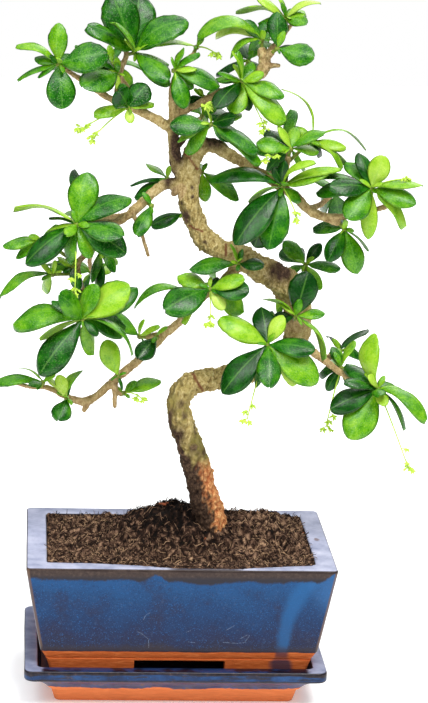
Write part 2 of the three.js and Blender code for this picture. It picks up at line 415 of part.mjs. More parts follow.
// Soil: a block with the heaped top, cut to the pot's cavity and to the trunk's plain hole
function makeSoil(trunkHole) {
  const [columns, rows] = [12, 7];
  const [halfWidth, halfDepth] = [POT_HALF_WIDTH - 8, POT_HALF_DEPTH - 8];
  const corners = [];
  for (let row = 0; row <= rows; row += 1) {
    for (let column = 0; column <= columns; column += 1) {
      const x = halfWidth * (2 * column / columns - 1);
      const y = halfDepth * (2 * row / rows - 1);
      corners.push([x, y, soilHeight(x, y)]);
    }
  }
  const below = corners.length;
  corners.slice().forEach(([x, y]) => corners.push([x, y, POT_FLOOR - 10]));
  const triangles = [];
  const wide = columns + 1;
  for (let row = 0; row < rows; row += 1) {
    for (let column = 0; column < columns; column += 1) {
      const a = row * wide + column;
      triangles.push([a, a + 1, a + wide + 1], [a, a + wide + 1, a + wide]);
      triangles.push([below + a, below + a + wide + 1, below + a + 1]);
      triangles.push([below + a, below + a + wide, below + a + wide + 1]);
    }
  }
  const wall = (a, b) => triangles.push([a, below + a, below + b], [a, below + b, b]);
  for (let column = 0; column < columns; column += 1) {
    wall(column, column + 1);
    wall(rows * wide + column + 1, rows * wide + column);
  }
  for (let row = 0; row < rows; row += 1) {
    wall((row + 1) * wide, row * wide);
    wall(row * wide + columns, (row + 1) * wide + columns);
  }
  const heap = solidFrom(corners, triangles);
  const cavity = steppedBox(POT_HALF_WIDTH, POT_HALF_DEPTH, 0, potCavity(CLEARANCE, [POT_TOP + 30]));
  return largestBody(heap.intersect(cavity).subtract(trunkHole));
}

// A limb: a tapered tube with a blunt domed tip along a smooth curve through its points
function limbSolid(points, sides, step, swell) {
  const places = points.map(([x, y, z]) => new THREE.Vector3(x, y, z));
  const curve = new THREE.CatmullRomCurve3(places, false, 'centripetal');
  const stations = Math.max(1, Math.round(curve.getLength() / step));
  const frames = curve.computeFrenetFrames(stations, false);
  const ring = (centre, index, radius) => Array.from({ length: sides }, (unused, side) => {
    const angle = 2 * Math.PI * side / sides;
    return centre.clone()
      .addScaledVector(frames.normals[index], radius * Math.cos(angle))
      .addScaledVector(frames.binormals[index], radius * Math.sin(angle))
      .toArray();
  });
  const radiusAt = (u) => {
    const place = curve.getUtoTmapping(u) * (points.length - 1);
    const index = Math.min(points.length - 2, Math.floor(place));
    return THREE.MathUtils.lerp(points[index][3], points[index + 1][3], place - index) + swell;
  };
  const rings = [];
  for (let k = 0; k <= stations; k += 1) {
    const centre = curve.getPointAt(k / stations);
    const radius = radiusAt(k / stations);
    const along = frames.tangents[k];
    rings.push(ring(centre, k, radius));
    if (k === stations && sides > 3) {
      rings.push(ring(centre.clone().addScaledVector(along, 0.5 * radius), k, 0.6 * radius));
    }
  }
  return solidOfRings(rings);
}

// The whole tree's wood, made thicker by a swell where it cuts a clearance
function makeWood(swell) {
  const limbs = Object.entries(LIMBS).map(([name, points]) => {
    const thickest = Math.max(...points.map((point) => point[3]));
    const sides = thickest > 6 ? 9 : thickest > 3.8 ? 6 : 4;
    return limbSolid(points, sides, name === 'trunk' ? 12 : 20, swell);
  });
  return limbs.reduce((sum, limb) => sum.add(limb));
}

// Vectors as plain lists
const add = (a, b, share = 1) => [a[0] + share * b[0], a[1] + share * b[1], a[2] + share * b[2]];
const dot = (a, b) => a[0] * b[0] + a[1] * b[1] + a[2] * b[2];
const cross = (a, b) => [a[1] * b[2] - a[2] * b[1], a[2] * b[0] - a[0] * b[2], a[0] * b[1] - a[1] * b[0]];
const length = (a) => Math.sqrt(dot(a, a));
const unit = (a) => add([0, 0, 0], a, 1 / length(a));

// The axes that the leaves' reaches are given along: right, up and toward the front
const VIEW = (() => {
  const run = Math.cos(VIEW_PITCH);
  const away = [Math.sin(VIEW_YAW) * run, Math.cos(VIEW_YAW) * run, -Math.sin(VIEW_PITCH)];
  const level = [Math.cos(VIEW_YAW), -Math.sin(VIEW_YAW), 0];
  const upright = cross(level, away);
  const right = add(add([0, 0, 0], level, Math.cos(VIEW_ROLL)), upright, Math.sin(VIEW_ROLL));
  const up = add(add([0, 0, 0], upright, Math.cos(VIEW_ROLL)), level, -Math.sin(VIEW_ROLL));
  return { right, up, toward: add([0, 0, 0], away, -1) };
})();

function fromView([right, up, toward]) {
  return add(add(add([0, 0, 0], VIEW.right, right), VIEW.up, up), VIEW.toward, toward);
}

// A seeded draw between 0 and 1, so that every run grows the same tree
let seed = 20021;
function draw() {
  seed = (seed * 1664525 + 1013904223) % 4294967296;
  return seed / 4294967296;
}

// Half the width of a blade along its length, as a share of its widest half
function halfWidthAt(t) {
  if (t < PETIOLE) return 0.14;
  const u = (t - PETIOLE) / (1 - PETIOLE);
  return 0.14 + 0.86 * Math.sin(Math.PI * u ** 1.25) ** 0.8;
}

// A leaf's frame, with a share of its full length and a lean toward or away from the front
function layLeaf(root, { reach, breadth, toothed }, share, lean) {
  const [right, up, toward, turn, tint, bend = DEFAULT_BEND] = reach;
  const flat = Math.sqrt(right * right + up * up);
  const long = share * Math.sqrt(flat * flat + toward * toward);
  const tilt = Math.atan2(toward, flat) + lean;
  const reachFlat = Math.cos(tilt) / flat;
  const axis = unit(fromView([reachFlat * right, reachFlat * up, Math.sin(tilt)]));
  const sight = add(VIEW.toward, VIEW.up, 0.3);
  const front = unit(add(sight, axis, -dot(sight, axis)));
  const turned = (right >= 0 ? 1 : -1) * turn * Math.PI / 180;
  const face = add(add([0, 0, 0], front, Math.cos(turned)), cross(front, axis), Math.sin(turned));
  const half = 0.5 * breadth * long;
  return { root, axis, face, across: cross(face, axis), long, half, bend, tint, toothed };
}

// A point of a leaf's middle surface: t from 0 at its root to 1 at its tip, side in half widths
function leafPoint(leaf, t, side) {
  const out = side * leaf.half;
  const rise = leaf.long * leaf.bend * 4 * t * (1 - t) - FOLD * Math.abs(out);
  return add(add(add(leaf.root, leaf.axis, leaf.long * t), leaf.face, rise), leaf.across, out);
}

// The points that stand for a leaf where its clearance is worked out, each with its place along it
function leafProbes(leaf) {
  const probes = [];
  for (let i = 2; i <= PROBES_ALONG; i += 1) {
    const t = i / PROBES_ALONG;
    for (let j = -PROBES_ACROSS; j <= PROBES_ACROSS; j += 1) {
      probes.push([...leafPoint(leaf, t, j / PROBES_ACROSS * halfWidthAt(t)), t]);
    }
  }
  return probes;
}

// The blade as a thin solid with sharp edges round a thicker midrib, alike on both faces
function leafSolid(leaf) {
  const large = leaf.long > LARGE_LEAF;
  const small = leaf.long < SMALL_LEAF;
  const roundLarge = [[0.34, 0.72], [0.6, 1], [0.82, 0.8], [0.95, 0.4]];
  const round = large ? roundLarge : [[0.38, 0.8], [0.66, 0.98], [0.92, 0.5]];
  const edge = [[0.1, 0.16], ...(small ? [[0.42, 0.88], [0.8, 0.82]] : round)];
  const rib = large ? [0.3, 0.6, 0.84] : [0.36, 0.72];
  const corners = [leafPoint(leaf, 0, 0), leafPoint(leaf, leaf.toothed ? 0.96 : 1, 0)];
  const listed = (points) => points.map((point) => corners.push(point) - 1);
  const edges = [1, -1].map((hand) => listed(edge.map(([t, side]) => leafPoint(leaf, t, hand * side))));
  const ribs = [0.5, -0.5].map((rise) => listed(
    rib.map((t) => add(leafPoint(leaf, t, 0), leaf.face, rise * LEAF_THICKNESS)),
  ));
  const triangles = [];
  edges.forEach((outer, hand) => ribs.forEach((inner, under) => {
    const put = (a, b, c) => triangles.push(hand === under ? [a, c, b] : [a, b, c]);
    put(0, outer[0], inner[0]);
    let [i, j] = [0, 0];
    while (i < inner.length - 1 || j < outer.length - 1) {
      const alongEdge = i === inner.length - 1 || (j < outer.length - 1 && edge[j + 1][0] < rib[i + 1]);
      put(inner[i], outer[j], alongEdge ? outer[j + 1] : inner[i + 1]);
      if (alongEdge) j += 1;
      else i += 1;
    }
    put(inner[i], outer[j], 1);
  }));
  return solidFrom(corners, triangles);
}

// The foot of a shoot: the nearest place on the middle of the wood, and how far its bark is
function nearestWood(place) {
  let nearest = { clear: Infinity };
  Object.values(LIMBS).forEach((points) => {
    for (let i = 0; i + 1 < points.length; i += 1) {
      const [a, b] = [points[i], points[i + 1]];
      const span = add(b, a, -1);
      const share = Math.min(1, Math.max(0, dot(add(place, a, -1), span) / dot(span, span)));
      const foot = add(a, span, share);
      const radius = a[3] + share * (b[3] - a[3]);
      const clear = length(add(place, foot, -1)) - radius;
      if (clear < nearest.clear) nearest = { foot, radius, clear };
    }
  });
  return nearest;
}

// What is taken up already, kept by small cells of space: [x, y, z, place along, spray]
const taken = new Map();
const cellOf = (value) => Math.floor(value / CELL);
const keyOf = (i, j, k) => ((i + 200) * 400 + (j + 200)) * 400 + k + 200;

function take(points, spray) {
  points.forEach(([x, y, z, t]) => {
    const key = keyOf(cellOf(x), cellOf(y), cellOf(z));
    if (!taken.has(key)) taken.set(key, []);
    taken.get(key).push([x, y, z, t, spray]);
  });
}

function isFree([x, y, z, t], spray, ownGap) {
  const [i, j, k] = [cellOf(x), cellOf(y), cellOf(z)];
  for (let near = 0; near < 27; near += 1) {
    const key = keyOf(i + near % 3 - 1, j + Math.floor(near / 3) % 3 - 1, k + Math.floor(near / 9) - 1);
    const hit = (taken.get(key) ?? []).some((other) => {
      const own = other[4] === spray;
      if (own && (t < ROOT_SHARE || other[3] < ROOT_SHARE)) return false;
      const gap = own ? ownGap : SPRAY_GAP;
      return (other[0] - x) ** 2 + (other[1] - y) ** 2 + (other[2] - z) ** 2 < gap * gap;
    });
    if (hit) return false;
  }
  return true;
}

// Points along a line from one place to another, for the clearance of shoots and flower stalks
function alongLine(from, to, t) {
  const steps = Math.ceil(length(add(to, from, -1)) / 1.5);
  return Array.from({ length: steps + 1 }, (unused, k) => [...add(from, add(to, from, -1), k / steps), t]);
}

// Lays a leaf clear of the wood and of all that is laid before it, leaning it as little as it can
function layClear(spray, root, leaf, tries) {
  for (const [share, ownGap] of tries) {
    for (const lean of LEANS) {
      const laid = layLeaf(root, leaf, share, lean * Math.PI / 180);
      const probes = leafProbes(laid);
      if (probes.every((probe) => nearestWood(probe).clear > WOOD_GAP && isFree(probe, spray, ownGap))) {
        take(probes, spray);
        return [laid];
      }
    }
  }
  return [];
}

// Sets out every spray: its middle clear of the bark, its shoot, its flower stalks and its leaves
function laySprays() {
  const sprays = Object.entries(SPRAYS).map(([name, { at, stalks = [], leaves, spare }], index) => {
    const { foot, radius } = nearestWood(at);
    const out = add(at, foot, -1);
    const away = Math.max(length(out), radius + KNOB_RADIUS + 1);
    const root = add(foot, unit(out), away);
    const hanging = stalks.map((reach) => {
      const end = add(root, fromView(reach));
      const shoulder = add(add(root, fromView(reach), 0.4), VIEW.up, 3);
      return [root, shoulder, end];
    });
    take(alongLine(foot, root, 1), index);
    hanging.forEach(([from, shoulder, to]) => {
      take(alongLine(from, shoulder, 0), index);
      take(alongLine(shoulder, to, 0), index);
    });
    return { name, index, foot, root, hanging, wanted: leaves, spare, leaves: [] };
  });
  sprays.forEach(({ index, root, wanted, leaves }) => wanted.forEach((reach) => {
    const breadth = reach[6] ?? 0.48 + 0.08 * draw();
    const toothed = draw() < TOOTHED_SHARE;
    leaves.push(...layClear(index, root, { reach, breadth, toothed }, HAND_TRIES));
  }));
  sprays.forEach(({ index, root, wanted, spare, leaves }) => {
    for (let k = 0; k < spare; k += 1) {
      const angle = index + k * GOLDEN_ANGLE;
      const lean = (wanted.length ? -45 - 30 * draw() : -15 - 55 * draw()) * Math.PI / 180;
      const long = 22 + 9 * draw();
      const flat = long * Math.cos(lean);
      const reach = [flat * Math.cos(angle), flat * Math.sin(angle), long * Math.sin(lean)];
      const looks = [60 * draw(), 0.5 * draw(), 0.04 + 0.1 * draw()];
      const breadth = 0.48 + 0.08 * draw();
      const leaf = { reach: [...reach, ...looks], breadth, toothed: draw() < TOOTHED_SHARE };
      leaves.push(...layClear(index, root, leaf, SPARE_TRIES));
    }
  });
  return sprays;
}

// The green shoot of a spray, from the wood to the swollen tip that its leaves spring from
function shootSolid(foot, root) {
  const along = unit(add(root, foot, -1));
  const side = unit(cross(along, Math.abs(along[0]) < 0.7 ? [1, 0, 0] : [0, 1, 0]));
  const ring = (centre, radius) => [0, 1, 2].map((corner) => {
    const angle = 2 * Math.PI * corner / 3;
    return add(add(centre, side, radius * Math.cos(angle)), cross(along, side), radius * Math.sin(angle));
  });
  return solidOfRings([
    ring(foot, SHOOT_RADIUS), ring(add(root, along, -0.5 * KNOB_RADIUS), KNOB_RADIUS),
    ring(add(root, along, KNOB_RADIUS), SHOOT_RADIUS),
  ]);
}

// A spray as one solid: shoot, leaves and hanging stalks with their buds
function spraySolid({ foot, root, hanging, leaves }) {
  const shoot = shootSolid(foot, root);
  const stalks = hanging.map((path) => limbSolid(path.map((place) => [...place, STALK_RADIUS]), 3, 20, 0));
  const buds = hanging.map(([, , end]) => (
    solidOf(new THREE.OctahedronGeometry(BUD_RADIUS, 0).scale(1, 1, 1.5).translate(...end))
  ));
  return [...leaves.map(leafSolid), ...stalks, ...buds].reduce((sum, piece) => sum.add(piece), shoot);
}

const part = new THREE.Group();
const wood = makeWood(0);
const woodRoom = makeWood(WOOD_CLEARANCE);
part.add(meshOf('drip_tray', makeTray(), 'tray'));
part.add(meshOf('pot', makePot(), 'pot'));
part.add(meshOf('soil', makeSoil(woodRoom), 'soil'));
part.add(meshOf('tree_wood', wood, 'wood'));
laySprays().filter(({ leaves }) => leaves.length > 0).forEach((spray) => {
  part.add(meshOf(`spray_${spray.name}`, largestBody(spraySolid(spray).subtract(woodRoom)), 'leaf'));
});

export default part;
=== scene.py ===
"""Looks of the fukien tea bonsai: glazed pot and drip tray, peat soil, bark, leaves and flowers.

Lengths are in millimetres until a mesh is made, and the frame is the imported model's: X along the pot's
long side, Y away from the front, Z up, the origin in the middle of the tray's underside.
"""
import math
import random

import bpy
import numpy as np
from mathutils import Matrix, Vector, kdtree, noise

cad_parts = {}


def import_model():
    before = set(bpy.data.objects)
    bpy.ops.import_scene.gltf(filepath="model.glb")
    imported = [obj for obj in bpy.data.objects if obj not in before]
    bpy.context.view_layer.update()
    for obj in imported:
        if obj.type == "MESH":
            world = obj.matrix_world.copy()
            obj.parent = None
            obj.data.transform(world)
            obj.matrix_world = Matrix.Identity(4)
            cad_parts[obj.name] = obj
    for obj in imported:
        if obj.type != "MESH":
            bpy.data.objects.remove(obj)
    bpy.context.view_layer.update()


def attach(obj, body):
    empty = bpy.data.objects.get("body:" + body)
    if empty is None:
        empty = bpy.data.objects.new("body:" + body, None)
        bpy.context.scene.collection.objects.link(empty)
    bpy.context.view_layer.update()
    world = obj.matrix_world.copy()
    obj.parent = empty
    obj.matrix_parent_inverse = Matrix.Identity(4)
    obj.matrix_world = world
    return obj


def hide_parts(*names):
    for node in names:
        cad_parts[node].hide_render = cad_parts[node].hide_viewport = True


MM = 0.001

# The camera
VIEW_YAW = math.radians(4.316)
VIEW_PITCH = math.radians(13.395)
VIEW_ROLL = math.radians(1.934)
CAMERA_PLACE = (-105.28, -1659.47, 620.51)
CAMERA_LENS = 134.68

# The place that the lamps are aimed at, in metres, and how wide the key light's disc looks
LIT_MIDDLE = (0.0, 0.0, 0.24)
KEY_ANGLE = math.radians(24)

# The axes that the leaves' reaches are given along
LEAF_YAW = math.radians(4.3)
LEAF_PITCH = math.radians(13.4)
LEAF_ROLL = math.radians(1.9)

# The tray, the pot and the soil, as in the model's solids
TRAY_HALF_WIDTH = 98
TRAY_HALF_DEPTH = 65
TRAY_HEIGHT = 27
TRAY_FLOOR = 20
TRAY_CENTRE_X = -2
POT_HALF_WIDTH = 100
POT_HALF_DEPTH = 67
POT_TOP = 97
POT_WALL = 13.7
GLAZE_BOTTOM = 38
GLAZE_INSET = 10.5
FOOT_HEIGHT = 10.5
FOOT_INSET = 17.5
FOOT_WALL = 12
POT_FLOOR = 39
CAVITY_FLOOR_INSET = 21
FRONT_FOOT_GAP = 59
END_FOOT_GAP = 40
DRAIN_RADIUS = 7
DRAIN_X = 40
SOIL_LEVEL = 94

# Marks on the pot's front: its pale run, the peak of the brown band and its level, the soiled stretch of
# the rim and the chip in it
RUN_X = 65.5
BAND_PEAK_X = -16.6
BAND_BOTTOM = POT_TOP - 8.4
SOILED_X = 13
CHIP_X = 92.4

# The leaves, as in the model's solids
PETIOLE = 0.08
DEFAULT_BEND = 0.1
FOLD = 0.16
TOOTHED_SHARE = 0.35
GOLDEN_ANGLE = 2.39996
KNOB_RADIUS = 2.5
SPRAY_GAP = 3
OWN_GAP = 2
HAND_TRIES = ((1, OWN_GAP), (0.85, OWN_GAP), (1, 0), (0.85, 0))
SPARE_TRIES = ((1, OWN_GAP),)
YOUNG_TRIES = ((1, 1.0), (0.75, 0.5))
WOOD_GAP = 1.6
ROOT_SHARE = 0.35
LEANS = [0, 8, -8, 16, -16, 24, -24, 32, -32, 40, -40, 50, -50]
PROBES_ALONG = 14
PROBES_ACROSS = 3
CELL = 4
LINE_STEP = 1.5
DRAW_SEED = 20021
DRAW_FACTOR = 1664525
DRAW_ADDEND = 1013904223
DRAW_RANGE = 4294967296

# The wood, each limb a list of (x, y, z, radius) along its middle
LIMBS = {
  "trunk": [[25, 0, 73, 8], [24, 0, 91, 9.4], [22.5, 0, 107, 10.2], [16, -1, 128, 9.3],
    [10.5, -2, 147, 8.7], [4, -4, 167, 9], [0, -5, 176, 8.2], [-2, -6, 186, 7.7], [-2, -6, 195, 7.6],
    [3, -5, 202, 7.5], [11, -2, 205, 7.5], [26, 2, 206, 7.4], [41, 6, 209, 7.5], [55, 9, 212, 7.6],
    [67, 11, 218, 7.8], [74, 11, 229, 8], [75, 9, 243, 8.2], [73, 6, 256, 8.8], [66, 3, 269, 9.4],
    [51, 1, 278, 8.5], [35, 0, 287, 7.4], [20, 0, 293, 7], [11, 0, 299, 7], [6, 0, 308, 6.8],
    [1, 0, 321, 6.3], [0, 0, 332, 6.6], [0, 0, 342, 6.9], [2, -1, 351, 6.2], [4, -2, 358, 5.8],
    [5, -3, 365, 4.6]],
  "left_leader": [[-2, 0, 337, 5], [-8, -2, 347, 4.4], [-10, -3, 358, 4], [-11, -4, 369, 4],
    [-11, -4, 381, 3.2], [-12, -5, 389, 2.6], [-12, -6, 398, 1.9], [-10, -7, 406, 1.6],
    [-5, -4, 413, 1.5], [1, 2, 418, 1.2]],
  "right_branch": [[4, -2, 356, 5], [10, -2, 360, 4.6], [17, -2, 359, 4.2], [26, -3, 354, 3.6],
    [37, -4, 348, 3.3], [49, -6, 341, 3.2], [61, -9, 334, 3.2], [69, -8, 328, 3.3], [76, -7, 321, 3.3],
    [86, -6, 316, 2.8], [100, -10, 317, 2], [115, -14, 321, 1.8], [127, -18, 326, 1.6]],
  "right_stub": [[86, -6, 316, 2.2], [97, -6, 312, 2.2]],
  "right_shoot": [[61, -9, 334, 2.2], [61, -12, 345, 2], [62, -15, 356, 1.6]],
  "right_spur": [[108, -12, 319, 1.7], [113, -17, 327, 1.6], [115, -20, 333, 1.5]],
  "top_left": [[-11, -4, 370, 3.6], [-16, -6, 373, 3.3], [-23, -8, 377, 3.1], [-31, -10, 381, 2.9],
    [-39, -11, 385, 2.5], [-48, -13, 388, 2.2], [-57, -16, 393, 2], [-70, -20, 402, 1.7],
    [-81, -23, 409, 1.5]],
  "top_left_spur": [[-48, -13, 388, 2], [-47, -8, 398, 1.9], [-45, -4, 408, 1.9], [-42, 0, 416, 1.7],
    [-44, 3, 423, 1.5], [-54, 8, 428, 1.2]],
  "top_right": [[-11, -4, 380, 2.8], [-2, -4, 383, 2.4], [9, -4, 389, 2.3], [18, -4, 394, 2.3],
    [29, -4, 398, 2.6], [37, -2, 402, 3], [45, 1, 408, 3.7], [46, 2, 415, 3.9], [44, 3, 421, 2.6]],
  "top_right_fork": [[46, 2, 414, 2.4], [50, -4, 420, 2]],
  "top_right_stub": [[46, 1, 411, 2], [55, -3, 412, 1.5]],
  "top_right_twig": [[46, 2, 416, 2.2], [56, 10, 427, 1.6], [65, 15, 438, 1.3]],
  "left_branch": [[-2, 0, 334, 4.2], [-8, -1, 334, 4], [-15, -3, 334, 3.6], [-22, -6, 330, 3.2],
    [-31, -11, 322, 3], [-39, -16, 316, 2.7], [-47, -20, 312, 2.3], [-58, -25, 313, 1.8],
    [-67, -28, 312, 1.5]],
  "left_knob": [[-6, -2, 332, 2.6], [-10, -4, 328, 2]],
  "left_hanger": [[-36, -15, 317, 1.6], [-30, -13, 304, 1.2], [-25, -11, 289, 1.2]],
  "left_down": [[-47, -20, 312, 1.9], [-54, -14, 302, 2], [-60, -10, 294, 2], [-70, -12, 283, 1.9],
    [-68, -18, 271, 1.8], [-66, -26, 260, 2], [-69, -32, 250, 1.9], [-69, -33, 241, 1.5]],
  "low_left": [[36, 0, 284, 4], [27, -6, 276, 2.6], [17, -12, 267, 2.6], [7, -8, 259, 2.3],
    [-4, -4, 244, 2.4], [-14, -3, 235, 3.4], [-28, -5, 220, 2.6], [-44, -6, 206, 2.6],
    [-61, -8, 192, 2.6], [-70, -10, 193, 2.2], [-78, -12, 197, 1.9], [-89, -18, 203, 1.7],
    [-99, -21, 204, 1.5], [-109, -23, 207, 1.2]],
  "low_left_end": [[-61, -8, 192, 2.2], [-64, -8, 185, 1.5]],
  "low_left_stub": [[-44, -6, 206, 2.2], [-44, -6, 198, 1.8], [-44, -5, 187, 1.3]],
  "low_left_stub_b": [[-45, -6, 200, 1.6], [-40, -3, 195, 1.4]],
  "low_left_side": [[-14, -3, 235, 2.6], [-21, -2, 234, 2.2], [-24, -1, 233, 1.7]],
  "low_right": [[74, 10, 237, 4], [81, 6, 227, 2.8], [90, 2, 221, 2.4], [102, -4, 213, 2.1],
    [110, -12, 209, 1.9], [122, -22, 202, 1.6]],
  "mid_right_up": [[73, 6, 256, 4], [75, 10, 267, 2.2], [79, 13, 275, 1.6]],
  "mid_right_spur": [[75, 9, 243, 3], [71, -7, 248, 1.8]],
  "low_front_spur": [[65, 8, 219, 4], [58, -14, 229, 2.6], [53, -26, 234, 1.8]],
  "back_left": [[-39, -16, 316, 2.2], [-50, 4, 311, 1.7], [-62, 20, 309, 1.4]],
  "back_left_low": [[-60, -10, 294, 1.8], [-62, 8, 281, 1.5], [-60, 20, 271, 1.3]],
  "back_crown_left": [[-31, -10, 381, 2.2], [-40, 14, 393, 1.8], [-48, 32, 403, 1.4]],
  "back_crown_mid": [[-10, -3, 358, 2.8], [2, 16, 367, 2], [8, 27, 372, 1.5]],
  "back_crown_right": [[29, -4, 398, 2.2], [34, 16, 401, 1.8], [37, 30, 407, 1.4]],
  "back_middle": [[20, 0, 293, 4], [22, 14, 287, 2], [22, 25, 281, 1.5]],
  "back_right": [[49, -6, 341, 2.4], [64, 14, 345, 1.9], [66, 28, 351, 1.4]],
  "back_right_far": [[76, -7, 321, 2.4], [86, 12, 320, 1.9], [95, 25, 324, 1.4]],
  "back_low": [[74, 11, 229, 4], [70, 26, 233, 2.2], [66, 38, 237, 1.6]],
  "back_low_right": [[90, 2, 221, 2], [98, 12, 219, 1.7], [104, 20, 220, 1.4]],
}

